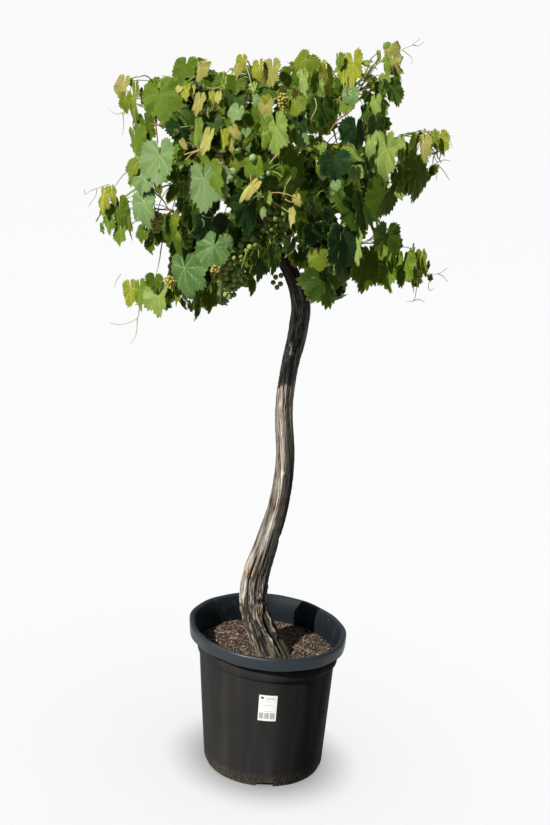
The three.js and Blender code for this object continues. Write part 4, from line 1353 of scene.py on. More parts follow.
# The leaves that make the face of the crown, spray by spray, in cm: across and up of the blade's top,
# across and up of its tip, and how wide it shows. Its tint is its age, and the shade and blue_shade tints
# are painted shade for leaves that hang in shade; its layer says how far forward it stands.
SPRAYS = {
    "top left tip": (
        (-43.5, 181.5, -45.5, 176, 3, "cream", 3), (-43, 178, -43.5, 173, 3, "olive", 2),
        (-40.5, 180.5, -41.5, 170, 1.5, "olive", 3), (-42.5, 181, -42.5, 179, 1, "bloom", 2),
    ),
    "left shoulder": (
        (-38.5, 173.5, -37, 166, 4.5, "deep", 0), (-41, 170.5, -38.5, 163, 4.5, "mid", 1),
        (-35.5, 181, -33, 171.5, 9.5, "mid", 3), (-39, 179.5, -38.5, 174.5, 3, "deep", 2),
        (-36.5, 176.5, -36, 171, 2, "deep", 1),
    ),
    "left": (
        (-33.5, 168, -33.5, 157.5, 7.5, "bloom", 4), (-39, 163, -41, 158.5, 3, "olive", 1),
        (-36, 161, -38.5, 155, 5, "bloom", 2), (-33.5, 161.5, -33.5, 154.5, 2, "deep", 5),
        (-35.5, 157, -35, 151.5, 2, "bloom", 1), (-37, 156, -37, 147.5, 5, "bloom", 3),
        (-31, 173, -27, 167, 4.5, "blue_shade", 0), (-25.5, 173.5, -25.5, 167, 2, "mid", 2),
        (-30.5, 170.5, -30.5, 168.5, 1, "straw", 2), (-29, 168.5, -27.5, 166, 1.5, "straw", 2),
    ),
    "left tip": (
        (-47, 156, -48, 149.5, 2.5, "lime", 3), (-45.5, 156.5, -45, 151, 1.5, "lime", 2),
        (-46, 152, -46.5, 144.5, 2.5, "mid", 2), (-43.5, 154, -43, 146.5, 3.5, "deep", 1),
        (-41.5, 153.5, -40.5, 144, 1.5, "deep", 1), (-43, 148, -43, 142, 3, "mid", 2),
    ),
    "left underside": (
        (-36.5, 148, -37.5, 143.5, 3, "deep", 1), (-35.5, 145.5, -35.5, 141, 2.5, "deep", 1),
        (-34, 147, -33, 143.5, 2, "shade", 0), (-34, 151.5, -34, 150, 1, "shade", 1),
        (-29.5, 158, -31, 153.5, 2.5, "deep", 1), (-27.5, 155, -28.5, 152, 3, "blue_shade", 1),
        (-30, 151.5, -29, 141.5, 4, "deep", 0), (-29, 151.5, -29.5, 148, 2, "olive", 2),
        (-28.5, 148, -28.5, 144.5, 1.5, "mid", 2), (-26, 153.5, -25.5, 147.5, 5, "shade", 0),
        (-30, 145, -30, 141, 2, "shade", 1),
    ),
    "lower left": (
        (-27, 142.5, -26.5, 131.5, 8.5, "bloom_green", 3), (-29, 134.5, -28.5, 128.5, 1.5, "olive", 1),
        (-26, 133, -25, 130.5, 1.5, "deep", 1), (-24.5, 131, -24, 125, 1.5, "shade", 1),
        (-19, 148, -21.5, 140, 8, "bloom_green", 4), (-18.5, 148, -15.5, 145, 2.5, "bloom", 3),
        (-20.5, 153, -22, 144, 8.5, "blue_shade", 1), (-20.5, 135, -20.5, 127.5, 4, "deep", -2),
        (-18, 138.5, -18, 131.5, 1.5, "fresh", 3),
    ),
    "bottom left tip": (
        (-42, 132.5, -41.5, 125.5, 3.5, "lime", 3), (-39, 133.5, -38.5, 125.5, 3, "mid", 2),
        (-34.5, 136, -35, 131.5, 4.5, "deep", 1), (-33.5, 133.5, -33.5, 125.5, 5.5, "fresh", 3),
        (-31, 133.5, -31.5, 128.5, 2.5, "olive", 1),
    ),
    "top left": (
        (-29, 186.5, -30.5, 180.5, 5, "deep", 1), (-26, 186, -26, 181, 3.5, "cream", 3),
        (-30, 180, -31, 178.5, 1.5, "straw", 2), (-28.5, 180.5, -28.5, 176.5, 2, "lime", 2),
        (-27, 180.5, -27, 177.5, 1, "cream", 2), (-25, 179, -26, 173.5, 2.5, "cream", 3),
        (-21, 179.5, -21, 176.5, 1.5, "straw", 3), (-23, 179.5, -23, 176, 1.5, "lime", 2),
        (-23.5, 176, -23.5, 173.5, 0.5, "fresh", 2), (-21.5, 176.5, -19.5, 174.5, 2, "olive", 1),
    ),
    "top": (
        (-23, 183, -23, 179.5, 4, "deep", 0), (-20.5, 184, -20.5, 180.5, 1, "olive", 2),
        (-17.5, 183, -17.5, 179, 4.5, "deep", 1), (-17.5, 180.5, -18, 176, 5, "shade", 0),
        (-16.5, 188, -16.5, 184.5, 2.5, "lime", 2), (-17.5, 186, -17.5, 182.5, 2, "cream", 3),
        (-12.5, 187, -12.5, 182, 2.5, "lime", 2), (-9.5, 187.5, -9.5, 181, 3.9, "cream", 3),
        (-11, 185, -11, 181.5, 1.5, "cream", 2), (-13, 182, -13.5, 179.5, 1.5, "fresh", 1),
        (-10.5, 181, -10, 178.5, 4, "shade", 0), (-13, 179.5, -13, 176, 1.5, "bloom", 1),
    ),
    "upper middle": (
        (-10, 179, -10.5, 174, 3.5, "cream", 3), (-10.5, 179.5, -9.5, 177, 2.5, "lime", 4),
        (-16, 177, -17.5, 172.5, 3.5, "bloom", 2), (-14, 176, -12.5, 172, 4, "deep", 0),
        (-22, 171.5, -23.5, 165, 2.5, "straw", 4), (-19.5, 171.5, -19, 166.5, 2, "lime", 3),
        (-17.5, 172.5, -16, 169, 2.5, "straw", 3), (-17.5, 169.5, -17.5, 166, 1.5, "cream", 3),
        (-14.5, 172, -14, 166.5, 2.5, "bloom", 2), (-11.5, 173.5, -13.5, 167, 1.5, "olive", 4),
        (-8, 176, -7, 166, 6, "fresh", 5), (-10.5, 175, -10, 167.5, 3, "mid", 3),
        (-23.5, 174.5, -22, 170, 5.5, "shade", -1), (-19.5, 175, -18.5, 171.5, 3, "deep", -1),
    ),
    "middle": (
        (-23.5, 164, -22, 152.5, 10, "bloom", 5), (-21.5, 164.5, -19, 156.5, 3, "mid", 6),
        (-12, 166, -11.5, 160, 4.5, "mid", 2), (-17, 166, -16, 162, 3.5, "olive", 0),
        (-10.5, 161, -15, 156.5, 2, "straw", 5), (-13, 158.5, -12, 148, 6, "blue_shade", 3),
        (-15.5, 156, -15, 151, 2, "olive", 4), (-9.5, 155, -9.5, 152, 1.5, "bloom", 4),
        (-8.5, 158.5, -7.5, 155.5, 2, "fresh", 3), (-4, 161.5, -4, 157.5, 2, "mid", 2),
    ),
    "above the head": (
        (-10, 145, -9, 137, 5, "shade", 0), (-11.5, 137.5, -10.5, 133.5, 2, "shade", 1),
        (-7, 146.5, -5.5, 139.5, 3, "shade", 2), (-2.5, 148.5, -2.5, 143.5, 3, "shade", 1),
        (-2, 158.5, -1.5, 155.5, 2, "straw", 5), (-3, 155.5, -2.5, 150.5, 1.5, "straw", 5),
    ),
    "top right": (
        (-1, 189.5, -4, 184.5, 5.5, "olive", 2), (-2.5, 186, -1.5, 179, 2.5, "fresh", 1),
        (0, 185.5, 0, 179.5, 2, "deep", 4), (2, 187.5, 4.5, 179.5, 3.5, "lime", 3),
        (1.5, 188, 1, 185, 2.5, "fresh", 3), (1.5, 184, 2, 180, 1, "fresh", 4),
        (-5, 185.5, -6, 181.5, 5.5, "deep", 0), (5, 190, 5.5, 186, 2, "mid", 2),
        (8.5, 190.5, 9, 182, 5.5, "lime", 3), (8.5, 182.5, 8.5, 178, 4, "bloom", 2),
        (6, 183, 5.5, 180.5, 2.5, "deep", 1), (-4, 179.5, -3.5, 175, 4, "olive", 2),
        (-6.5, 181.5, -7.5, 179, 2, "cream", 2), (-4, 181.5, -4.5, 179, 2, "straw", 2),
    ),
    "upper right": (
        (2, 180, 3, 173, 6, "shade", 0), (-1.5, 176.5, -1, 174, 1, "bloom", 2),
        (-3, 175.5, -2.5, 170, 3.5, "blue_shade", 0), (-2, 171.5, -1, 168, 3.5, "bloom", 1),
        (-4, 173.5, -3.5, 168.5, 1.5, "olive", 2), (10, 176, 11, 168.5, 5.5, "blue_shade", 1),
        (5.5, 168.5, 7, 161.5, 7.5, "blue_shade", 3), (7, 174, 8, 170.5, 2.5, "shade", 0),
        (8.5, 170.5, 12, 166, 2, "fresh", 2), (14, 172.5, 13, 167, 2.5, "fresh", 1),
        (11, 165.5, 11.5, 161.5, 3.5, "fresh", 1), (3.5, 168, 3, 165.5, 1, "fresh", 3),
        (2, 165, 2.5, 162.5, 1, "deep", 4),
    ),
    "right middle": (
        (-2.5, 168, -2, 157.5, 5, "deep", 1), (-5.5, 166.5, -4.5, 161.5, 2, "mid", 1),
        (6.5, 162, 7, 159.5, 2.5, "bloom", 4), (1.5, 158, 3, 153, 3, "shade", 1),
        (-0.5, 159, 0.5, 155.5, 2.5, "deep", 0), (-0.5, 152.5, -0.5, 147.5, 2.5, "deep", 0),
        (2, 152, 2.5, 146, 5, "blue_shade", 0), (5, 156, 5.5, 151.5, 2.5, "blue_shade", 0),
        (12.5, 160, 14, 149.5, 5, "shade", -1),
    ),
    "lower right": (
        (8.5, 152, 9.5, 140.5, 8, "blue_shade", 3), (12.5, 151.5, 13.5, 142.5, 2.5, "fresh", 2),
        (4, 146, 4.5, 141.5, 5, "olive", 4), (4.5, 142.5, 8, 132, 7.5, "shade", 3),
        (7.5, 140.5, 9, 136, 2, "deep", 4), (14.5, 146, 15, 136, 7, "deep", 0),
        (19.5, 153, 19.5, 144, 6.5, "deep", 1), (18, 147.5, 18.5, 144, 2.5, "mid", 3),
        (20.5, 145, 21.5, 136, 5, "mid", 1), (24.5, 146, 24.5, 137, 5, "mid", 2),
    ),
    "lower right tip": (
        (26.5, 147, 27.5, 136, 2, "mid", 3), (29, 146.5, 30, 139.5, 3, "olive", 2),
        (32.5, 139, 33, 137, 1.5, "olive", 1),
    ),
    "top right tip": (
        (16, 193.5, 16, 191.5, 1.5, "mid", 2), (17.5, 193.5, 17.5, 190.5, 3.7, "cream", 4),
        (18.5, 194, 20, 191.5, 1, "olive", 2), (14.5, 191.5, 15, 188.5, 1, "olive", 1),
        (17.5, 191.5, 18.5, 184.5, 3.9, "cream", 4), (16, 190, 16.5, 185, 1.5, "mid", 4),
        (16, 186.5, 17, 183, 2.5, "fresh", 2), (16.5, 185, 20, 179, 4, "shade", 2),
        (15, 184.5, 15.5, 178, 2, "shade", 1), (19, 185, 20, 183.5, 1.5, "shade", 3),
    ),
    "right": (
        (12.5, 182, 12, 179, 2.5, "shade", 1), (14.5, 181.5, 14, 176, 3.5, "fresh", 1),
        (16, 179, 16, 176, 2, "fresh", 1), (14.5, 177, 15, 171, 4.5, "shade", 2),
        (11.5, 179, 12.5, 174.5, 2, "shade", 0), (17.5, 173.5, 17.5, 162, 7, "fresh", 4),
        (21, 173, 21, 165.5, 2, "fresh", 4), (22.5, 170, 22.5, 167.5, 1.5, "olive", 1),
        (20.5, 166, 21.5, 159.5, 3, "mid", 1), (23, 162, 23, 159, 2, "fresh", 1),
        (19.5, 162.5, 16, 153.5, 8, "deep", 1), (21.5, 161.5, 22, 158, 2, "fresh", 2),
        (13.5, 167.5, 14, 164, 2.5, "blue_shade", 2), (16.5, 165, 17, 161.5, 1.5, "deep", 1),
    ),
    "right tip": (
        (24.5, 173.5, 24, 167, 2, "deep", 2), (26.5, 173.5, 26, 167, 2.5, "cream", 3),
        (28.5, 174.5, 29.5, 169.5, 1.5, "mid", 3), (30.5, 174.5, 30.5, 168.5, 3, "lime", 2),
        (24, 168.5, 27, 158, 6.5, "deep", 2),
    ),
    "behind the middle": (
        (-14, 171.5, -12, 165.5, 4.5, "deep", -1), (-10.5, 171, -11.5, 166, 3.5, "shade", -1),
        (11, 158, 11.5, 150.5, 5, "shade", 0), (-21, 157.5, -20.5, 151.5, 4, "shade", -1),
        (7.5, 180.5, 8, 176, 4, "mid", -1), (-3, 156, -1.5, 149.5, 5, "shade", -1),
    ),
}
LAYER = 8 * MM
MIDDLE_LAYER = 2                # the layer that lies on the crown's face
CM = 0.01
BEHIND = Vector((0, 0.03, 0))
fine_leaves = Batch()
perch_places = np.array([tuple(spot) for spot in perches])


def nearest_perch(place):
    return Vector(perch_places[np.argmin(np.linalg.norm(perch_places - np.array(place), axis=1))])


def layer_depth(x, z, layer):
    """How far back a layer of the crown's face lies at a place across and up."""
    return front_of_crown(x, z) + (MIDDLE_LAYER - layer) * LAYER


for rows in SPRAYS.values():
    for top_x, top_z, tip_x, tip_z, wide, tint, layer in rows:
        top = Vector((top_x * CM, 0, top_z * CM))
        tip = Vector((tip_x * CM, 0, tip_z * CM))
        shown = (tip - top).length
        form = LeafForm(dice)
        above, below, across = blade_extent(form)
        size = max(shown / (above + below), wide * CM / across)
        lean = math.acos(min(1.0, shown / (size * (above + below))))
        lean = max(lean, dice.uniform(0.05, 0.38))
        width_share = min(1.0, wide * CM / (size * across))
        turn = min(MOST_TURN, math.acos(width_share))
        form.narrow *= min(1.0, width_share / math.cos(turn))
        sunward = -1 if tint in SHADED or (tint == "deep" and top.x > CROWN_MIDDLE.x) else 1
        if wide < 4 and dice.random() < 0.15:
            sunward = -sunward
        joint = top.lerp(tip, above / (above + below))
        joint.y = layer_depth(joint.x, joint.z, layer)
        down = (tip - top).normalized()
        front = Vector((CAMERA_PLACE[0] - joint.x, CAMERA_PLACE[1] - joint.y, 0)).normalized()
        midrib = down * math.cos(lean) + front * math.sin(lean)
        face = (front - midrib * front.dot(midrib)).normalized()
        face = Matrix.Rotation(sunward * turn, 3, midrib) @ face
        size /= math.cos(lean) if lean < 0.5 else 1
        pattern = FINE_BLADE if size > BIG_LEAF else MIDDLE_BLADE
        place_leaf(fine_leaves, pattern, form, size, joint, midrib, face, tint)
        near = nearest_perch(joint + BEHIND)
        if (near - joint).length > LONGEST_STALK:
            # A twig carries the stalk most of the way.
            fork = near.lerp(joint - midrib * 0.03 + BEHIND, 0.6)
            places, faces = tube(arch(near, fork, 0.01, Vector(), 6), 1.6 * MM, SIDE_SIDES)
            canes.add(places, faces, GREEN)
            near = fork
        grow_stalk(near, joint, STALK_THICK, BLUSHED_STALK if tint in YELLOWISH else GREEN_STALK)

# Twigs and stalks that show in the crown's face. A kind says which batch it belongs to, its finish
# there, and its radius at its root and tip in mm.
TWIG_KINDS = {
    "brown": (canes, RIPENED, 2.0, 1.4),
    "green": (stalks, GREEN_STALK, 1.5, 1.0),
    "pink": (stalks, BLUSHED_STALK, 1.5, 1.0),
}
TWIG_STEPS = 10
TWIG_SIDES = 6
# Each one's kind and layer, and its line across and up in cm.
FACE_TWIGS = [
    ("pink", 3, [(-30, 163), (-28, 163.5), (-26, 165.5), (-23.5, 166.5)]),
    ("pink", 3, [(-28, 165), (-25.5, 166), (-23.5, 167)]),
    ("green", 2, [(-20, 183.5), (-20, 181), (-22, 180), (-24, 180)]),
    ("green", 2, [(-15.5, 185.5), (-14.5, 183), (-14, 181.5)]),
    ("pink", 4, [(-8.5, 164.5), (-7.5, 166), (-6.5, 167)]),
    ("green", 3, [(0.5, 179.5), (1, 177.5), (0, 175)]),
    ("brown", 1, [(-22, 167.5), (-20, 165.5), (-18.5, 163)]),
    ("green", 3, [(6.5, 186), (6.5, 184), (7, 181.5)]),
    ("pink", 4, [(-4.5, 157), (-3, 156.5), (-2, 157.5)]),
    ("brown", 0, [(-34.5, 155.5), (-32.5, 154), (-31.5, 152.5), (-30.5, 151.5)]),
    ("brown", 0, [(-34.5, 152), (-32, 152), (-30, 152)]),
    ("green", 3, [(-12.5, 144), (-13, 142), (-13.5, 140)]),
    ("green", 3, [(-19, 140), (-20, 137), (-21.5, 133.5)]),
    ("brown", 0, [(4.5, 172.5), (6, 175), (8, 176.5), (9.5, 178)]),
    ("brown", 0, [(5.5, 174), (7, 174.5), (9.5, 174.5)]),
    ("brown", 1, [(-37.5, 175.5), (-35.5, 171.5), (-34.5, 167)]),
    ("brown", 1, [(-36, 171), (-34.5, 171), (-32.5, 171.5)]),
    ("brown", 1, [(-41, 179), (-40, 177.5), (-39, 176)]),
    ("green", 1, [(-41.5, 176.5), (-40, 176.5), (-38.5, 176)]),
    ("brown", 1, [(10, 181), (11.5, 184), (13, 187), (14.5, 189.5)]),
    ("brown", 1, [(10, 181.5), (12, 183), (14, 184)]),
    ("green", 3, [(-23.5, 152), (-22, 151.5), (-20.5, 151.5)]),
    ("green", 3, [(-23.5, 151.5), (-22.5, 150), (-23.5, 148)]),
    ("green", 3, [(-3.5, 162), (-4.5, 160), (-5, 157.5)]),
]
for kind, layer, knots in FACE_TWIGS:
    line = []
    for x, z in knots:
        line.append((x * CM, layer_depth(x * CM, z * CM, layer), z * CM))
    line, _, _ = smooth_line(line, TWIG_STEPS)
    batch, finish, root_radius, tip_radius = TWIG_KINDS[kind]
    places, faces = tube(line, np.linspace(root_radius, tip_radius, TWIG_STEPS) * MM, TWIG_SIDES)
    batch.add(places, faces, finish)

# Behind and round that face the crown fills itself: every side shoot bears a leaf at each joint,
# on alternate sides, facing out and up to the light and hanging at the tip.
mass_middles = np.array([(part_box(name)[0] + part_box(name)[1]) / 2 for name in masses])
mass_halves = np.array([(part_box(name)[1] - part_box(name)[0]) / 2 for name in masses])


def in_crown(points, grow=1.0):
    """Whether every one of the points lies in some mass of the crown."""
    off = np.abs(np.array([*points])[:, None, :] - mass_middles) / (mass_halves * grow)
    return bool(np.all(np.any(np.sum(off ** 2.4, axis=2) < 1, axis=1)))


grown_leaves = {"left": Batch(), "middle": Batch(), "right": Batch(), "back": Batch()}
# Sky shows between the sprays along the crown's top and left edges too.
OPEN_PLACES += [
    (-0.372, 1.850, 0.028, 0.022), (-0.230, 1.868, 0.034, 0.016), (-0.065, 1.880, 0.012, 0.014),
    (0.043, 1.885, 0.012, 0.026), (-0.345, 1.393, 0.012, 0.022), (-0.452, 1.613, 0.008, 0.036),
]


def grow_leaf(root, joint, size, way_out, tint, jitter, between=False):
    """
    One leaf on its stalk, if it stays in a mass of the crown or, where it is between masses, hidden
    by them from in front, and behind the crown's face and out of its open places.
    """
    face = (0.75 * way_out + Vector((0, 0, 0.55)) + 0.6 * jitter).normalized()
    midrib = 0.35 * way_out + Vector((0, 0, -0.75)) + 0.4 * scatter(0.6)
    midrib = (midrib - face * midrib.dot(face)).normalized()
    side = midrib.cross(face)
    reach = [joint + midrib * size, joint - midrib * 0.4 * size]
    reach += [joint + side * 0.7 * size, joint - side * 0.7 * size]
    if is_open(joint, 0.6 * size) or is_open(root.lerp(joint, 0.5), 0):
        return False
    if not (in_crown(map(seen_from_front, reach), 0.93) if between else in_crown(reach, 1.03)):
        return False
    if min(spot.y for spot in reach) < front_of_crown(joint.x, joint.z) + 0.02:
        return False
    if joint.y > 0.12:
        where = "back"
    else:
        where = "left" if joint.x < -0.25 else "right" if joint.x > 0.08 else "middle"
    place_leaf(grown_leaves[where], PLAIN_BLADE, LeafForm(dice), size, joint, midrib, face, tint)
    grow_stalk(root, joint, STALK_THICK, GREEN_STALK)
    return True


def from_middle(place):
    """Where a place is from the crown's middle, on each axis as a share of the crown's half size."""
    return Vector([(a - b) / c for a, b, c in zip(place, CROWN_MIDDLE, CROWN_HALF)])


LEAF_SPACING = 32 * MM
LEAF_SCATTER = 0.35
for line, middle, half in side_shoots:
    length = sum((b - a).length for a, b in zip(line, line[1:]))
    count = max(2, round(length / LEAF_SPACING))
    # A shoot high in the crown takes a lighter usual tint and one low in it a darker one: younger leaves at
    # the top, and painted shade low in the crown.
    young = (middle.z - CROWN_MIDDLE.z) / CROWN_HALF.z + dice.uniform(-0.6, 0.6)
    usual = "grown_light" if young > 0.55 else "grown" if young > -0.2 else "grown_dark"
    for number in range(count):
        share = (number + 0.6) / count * (len(line) - 1)
        low = min(int(share), len(line) - 2)
        root = line[low].lerp(line[low + 1], share - low)
        along = (line[low + 1] - line[low]).normalized()
        side = along.cross(Vector((0, 0, 1))).normalized() * (1 if number % 2 else -1)
        last = number >= count - 2
        tint = usual if dice.random() < 0.7 else dice.choice(["grown", "grown_dark", "mid", "deep"])
        if last and young > 0.2:
            tint = dice.choice(["lime", "fresh", "grown_light"])
        for attempt in range(3):
            jitter = scatter(LEAF_SCATTER)
            stalk_way = 0.5 * side + 0.55 * from_middle(root).normalized() + Vector((0, 0, 0.35)) + jitter
            joint = root + stalk_way.normalized() * dice.uniform(0.03, 0.065)
            size = dice.uniform(0.034, 0.060) * (0.66 if last else 1) * (1 - 0.2 * attempt)
            if grow_leaf(root, joint, size, from_middle(joint).normalized(), tint, jitter):
                break

# Shaded inner leaves, in mostly dark tints that are painted shade: twigs reach into whatever room is left
# just behind the crown's face.
INNER_COUNT = 900
INNER_TINTS = ["grown_dark", "shade", "blue_shade", "deep", "grown"]
for _ in range(INNER_COUNT):
    x = CROWN_MIDDLE.x + CROWN_HALF.x * dice.uniform(-1, 1)
    z = CROWN_MIDDLE.z + CROWN_HALF.z * dice.uniform(-1, 1)
    joint = Vector((x, front_of_crown(x, z) + dice.uniform(0.05, 0.34), z))
    if not in_crown([joint], 0.9):
        continue
    near = nearest_perch(joint)
    jitter = scatter(LEAF_SCATTER)
    grow_leaf(near, joint, dice.uniform(0.028, 0.05), Vector((0, -1, 0)), dice.choice(INNER_TINTS), jitter)
# Leaves of the short twigs that join the crown's face to its back, as far as its middle hides them.
BETWEEN_COUNT = 1100
BETWEEN_TINTS = ["grown_dark", "grown", "deep"]
for _ in range(BETWEEN_COUNT):
    joint = CROWN_MIDDLE + Vector([0.9 * half * dice.uniform(-1, 1) for half in CROWN_HALF])
    if joint.y < 0 or from_middle(joint).length_squared > 0.8:
        continue
    near = nearest_perch(joint)
    if (near - joint).length > 0.09:
        continue
    jitter = scatter(LEAF_SCATTER)
    tint = dice.choice(BETWEEN_TINTS)
    way_out = from_middle(joint).normalized()
    grow_leaf(near, joint, dice.uniform(0.034, 0.055), way_out, tint, jitter, True)

back_masses = [name for name in masses if name.startswith("mass_back")]
front_masses = [name for name in masses if name not in back_masses]
finish_piece(fine_leaves.piece("leaves_face", leaf_finishes), front_masses)
for where, batch in grown_leaves.items():
    leafy = batch.piece("leaves_" + where, leaf_finishes)
    finish_piece(leafy, back_masses if where == "back" else ())
# Cane bark, ripened to wood: warm brown, dry and finely fluted. A green shoot's skin is smoother.
cane_finishes = [
    plain_finish("ripened_cane_bark", "#7d5c3c", 0.7, 500, 0.3 * MM),
    plain_finish("green_shoot_skin", "#8c9a4e", 0.5, 400, 0.15 * MM),
]
finish_piece(canes.piece("canes", cane_finishes), list(SHOOTS))
# Leaf stalk skin, alive: smooth and satin, green, or blushed tan where it has had the sun.
stalk_finishes = [
    plain_finish("green_stalk_skin", "#8f9a54", 0.5, 400, 0.1 * MM),
    plain_finish("blushed_stalk_skin", "#b3935f", 0.5, 400, 0.1 * MM),
]
finish_piece(stalks.piece("leaf_stalks", stalk_finishes))

# ---- grapes ----
# Unripe grapes: round green berries with a faint bloom, packed on short stalks into hanging,
# pointed bunches. Each berry is about 12 mm across.
BERRY_RADIUS = 6.9 * MM
# Middle of the bunch's top, its length and its greatest width, in cm.
BUNCHES = {
    "big": ((-16, -23.5, 144), 11.8, 6.2),
    "upper": ((-12.3, -23.5, 147), 5.5, 5.5),
    "hidden_left": ((-26.6, -24, 149), 6, 3),
    "dark": ((-5.7, -23, 155), 9.5, 5.6),
    "inner_low": ((6, 8, 146), 10, 6),
    "back_left": ((-20, 26, 148), 11, 7),
    "back_right": ((4, 28, 152), 11, 7),
    "young_middle": ((-20.2, -29.5, 165.5), 6, 3),
    "young_far": ((-34, -25, 151), 4.5, 3.2),
    "young_low": ((-30.5, -21, 136), 3, 3),
    "young_top": ((-6.7, -28, 180), 4, 2.5),
    "young_head": ((-20, -21.5, 139.5), 4, 2.5),
}
BUNCH_STALK = 1.4 * MM
ABOVE_BUNCH = Vector((0, 0.03, 0.035))
# A bunch that has lost most of its berries, below the head: the top of its stalk, and its berries
# across and up, in cm.
FEW_TOP = Vector((-4.9, -14, 139.6))
FEW_BERRIES = [(-5.7, 136.7), (-4.4, 137.2), (-6.2, 135.3), (-4.4, 135.2), (-5.2, 134.2)]
# Single berries that have swelled early in the crown's face: across and up in cm, and radius in mm.
LONE_BERRIES = [(-16.6, 162.1, 10), (-12.3, 165.5, 9.5), (-10, 161.5, 6), (-8.7, 162.4, 6)]
BERRY_ROUND = 8
BERRY_HIGH = 6
# The shaded skin is painted shade, a darker green: the berries on a bunch's main stalk have it, and about
# half of the others at random.
BERRY_SKINS = {
    "shaded": "#72883c", "green": "#869c44", "bloomed": "#94a462", "waxy": "#86a070",
    "newly_set": "#a8a052",
}
SHADED_SKIN, GREEN_SKIN, BLOOMED_SKIN, WAXY_SKIN, NEW_SKIN = range(len(BERRY_SKINS))


def ball(radius):
    """A ball with few faces, as vertices and faces."""
    rows = [(0, 0, radius)]
    for j in range(1, BERRY_HIGH):
        tilt = math.pi * j / BERRY_HIGH
        rows += [
            (radius * math.sin(tilt) * math.cos(2 * math.pi * i / BERRY_ROUND),
             radius * math.sin(tilt) * math.sin(2 * math.pi * i / BERRY_ROUND),
             radius * math.cos(tilt))
            for i in range(BERRY_ROUND)
        ]
    rows.append((0, 0, -radius))
    last = len(rows) - 1
    around = [(i, (i + 1) % BERRY_ROUND) for i in range(BERRY_ROUND)]
    faces = [(0, 1 + i, 1 + k) for i, k in around]
    for j in range(BERRY_HIGH - 2):
        base = 1 + j * BERRY_ROUND
        faces += [(base + i, base + BERRY_ROUND + i, base + BERRY_ROUND + k, base + k) for i, k in around]
    base = 1 + (BERRY_HIGH - 2) * BERRY_ROUND
    faces += [(last, base + k, base + i) for i, k in around]
    return np.array(rows), faces


berry_rows, berry_faces = ball(1.0)
berries = Batch()


def add_berry(place, radius, skin=None):
    """Adds a berry, turned at random, with one of the usual skins if it is given none."""
    tip = np.array(Matrix.Rotation(dice.uniform(0, 3), 3, scatter(1)))
    if skin is None:
        skin = dice.choice([SHADED_SKIN, SHADED_SKIN, GREEN_SKIN, BLOOMED_SKIN])
    berries.add(berry_rows @ tip * radius + np.array(place), berry_faces, skin)


for name, (top, length, width) in BUNCHES.items():
    top = Vector(top) * CM
    foot = top - Vector((0, 0, length * CM))
    places, faces = tube(arch(top + ABOVE_BUNCH, foot, 0, Vector(), 6), BUNCH_STALK, 5)
    stalks.add(places, faces, GREEN_STALK)
    grow_stalk(nearest_perch(top), top + ABOVE_BUNCH, BUNCH_STALK, GREEN_STALK)
    young = name.startswith("young")
    usual = BERRY_RADIUS * (0.5 if young else 1.0)
    layers = max(3, round(length * CM / (1.85 * usual)))
    for layer in range(layers):
        t = (layer + 0.4) / layers
        wide = 0.5 * width * CM * (0.35 + 0.65 * min(1.0, 3.2 * t)) * (1 - 0.72 * max(0.0, t - 0.25) / 0.75)
        around = max(3, round(2 * math.pi * wide / (2.35 * usual)))
        # The berries on the main stalk fill the middle of the bunch, and unless young they take the
        # painted-shade skin.
        add_berry(top.lerp(foot, t), usual, NEW_SKIN if young else SHADED_SKIN)
        for number in range(around):
            turn = 2 * math.pi * (number + 0.5 * (layer % 2)) / around + dice.uniform(-0.2, 0.2)
            out = wide * dice.uniform(0.8, 1.08)
            rise = dice.uniform(-0.5, 0.5) * usual
            spot = top.lerp(foot, t) + Vector((out * math.cos(turn), out * math.sin(turn), rise))
            add_berry(spot, usual * dice.uniform(0.88, 1.06), NEW_SKIN if young else None)
for across, up, radius in LONE_BERRIES:
    depth = front_of_crown(across * CM, up * CM) - LAYER
    add_berry(Vector((across * CM, depth, up * CM)), radius * MM, WAXY_SKIN)
few_top = FEW_TOP * CM
for across, up in FEW_BERRIES:
    spot = Vector((across, FEW_TOP.y + dice.uniform(-0.5, 0.5), up)) * CM
    add_berry(spot, BERRY_RADIUS * dice.uniform(0.92, 1.0))
    places, faces = tube(arch(few_top, spot, 0, Vector(), 4), 0.9 * MM, 4)
    stalks.add(places, faces, GREEN_STALK)
grow_stalk(nearest_perch(few_top), few_top, 1.2 * MM, GREEN_STALK)

# Unripe berry skin: tight, smooth and slightly see-through, dulled by a thin bloom of wax.
berry_finishes = []
for name, colour in BERRY_SKINS.items():
    finish = plain_finish("unripe_berry_" + name, colour, 0.5, 300, 0.1 * MM)
    skin = finish.node_tree.nodes["Principled BSDF"]
    skin.inputs["Specular IOR Level"].default_value = 0.2
    skin.inputs["Subsurface Weight"].default_value = 0.25
    skin.inputs["Subsurface Radius"].default_value = (1.0, 1.0, 0.4)
    skin.inputs["Subsurface Scale"].default_value = 3 * MM
    berry_finishes.append(finish)
finish_piece(berries.piece("berries", berry_finishes))

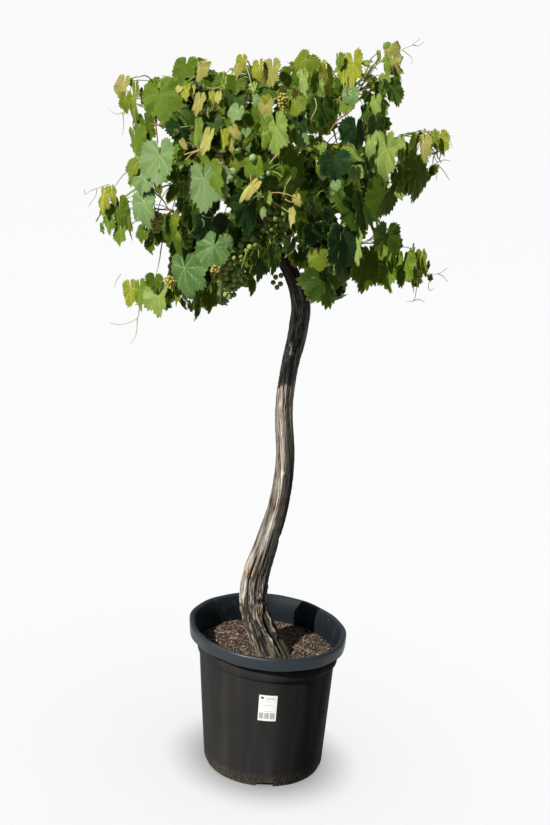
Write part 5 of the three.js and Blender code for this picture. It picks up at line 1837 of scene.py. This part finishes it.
# ---- tendrils ----
# The climbing threads at the shoot tips: thin, forked and wiry, green when young, reaching out
# past the leaves and curling at their ends. The lines are across and up in cm.
TENDRILS = [
    [(-49.0, 155.2), (-51.8, 154.0), (-53.5, 153.2), (-54.8, 152.2), (-54.9, 153.6)],
    [(-51.8, 154.0), (-52.2, 152.0), (-53.0, 150.6), (-53.9, 149.2)],
    [(-42.5, 173.2), (-44.6, 173.5), (-47.7, 172.3), (-50.0, 173.6)],
    [(-46.3, 172.9), (-45.9, 170.5), (-46.0, 167.4)],
    [(19.0, 190.8), (20.6, 192.3), (22.9, 193.6), (24.7, 195.3)],
    [(22.9, 193.6), (24.4, 193.5), (25.7, 194.5)],
    [(20.6, 192.3), (23.0, 190.6), (23.3, 189.2)],
    [(28.5, 171.5), (30.3, 168.8), (31.8, 165.7), (31.9, 162.1)],
    [(31.7, 166.4), (33.4, 167.1), (34.9, 166.9)],
    [(32.1, 165.7), (33.7, 164.2), (35.1, 162.3)],
    [(31.0, 173.5), (33.6, 172.4), (34.4, 171.5), (35.0, 170.3)],
    [(28.5, 140.5), (31.5, 139.2), (34.5, 139.1), (36.9, 140.6)],
    [(34.5, 139.1), (36.1, 138.5), (37.2, 137.3)],
    [(31.5, 139.2), (32.9, 137.8), (32.6, 136.0), (33.0, 134.7), (33.9, 135.3)],
    [(29.8, 138.0), (29.7, 134.5), (29.2, 131.9), (27.5, 131.5)],
    [(29.2, 131.9), (30.7, 132.2), (32.0, 131.8)],
    [(-39.0, 127.5), (-39.9, 124.6), (-40.3, 122.2), (-44.8, 120.0), (-47.4, 120.4)],
    [(-40.3, 122.2), (-40.6, 117.5), (-41.8, 115.3)],
    [(-45.0, 133.0), (-46.1, 131.3), (-46.5, 129.5)],
]
TENDRIL_STEPS = 22
TENDRIL_SIDES = 6
tendrils = Batch()
for knots in TENDRILS:
    # It wavers by 4 mm to the front and back.
    line = [(x * CM, -0.03 + 0.004 * math.sin(9 * i), z * CM) for i, (x, z) in enumerate(knots)]
    line, _, _ = smooth_line(line, TENDRIL_STEPS)
    places, faces = tube(line, np.linspace(1.15, 0.6, TENDRIL_STEPS) * MM, TENDRIL_SIDES)
    tendrils.add(places, faces, 0)
# Tendril skin: smooth, satin and yellow green, like that of the youngest stalks.
tendril_finish = plain_finish("green_tendril_skin", "#a3a262", 0.5, 400, 0.1 * MM)
finish_piece(tendrils.piece("tendrils", [tendril_finish]))
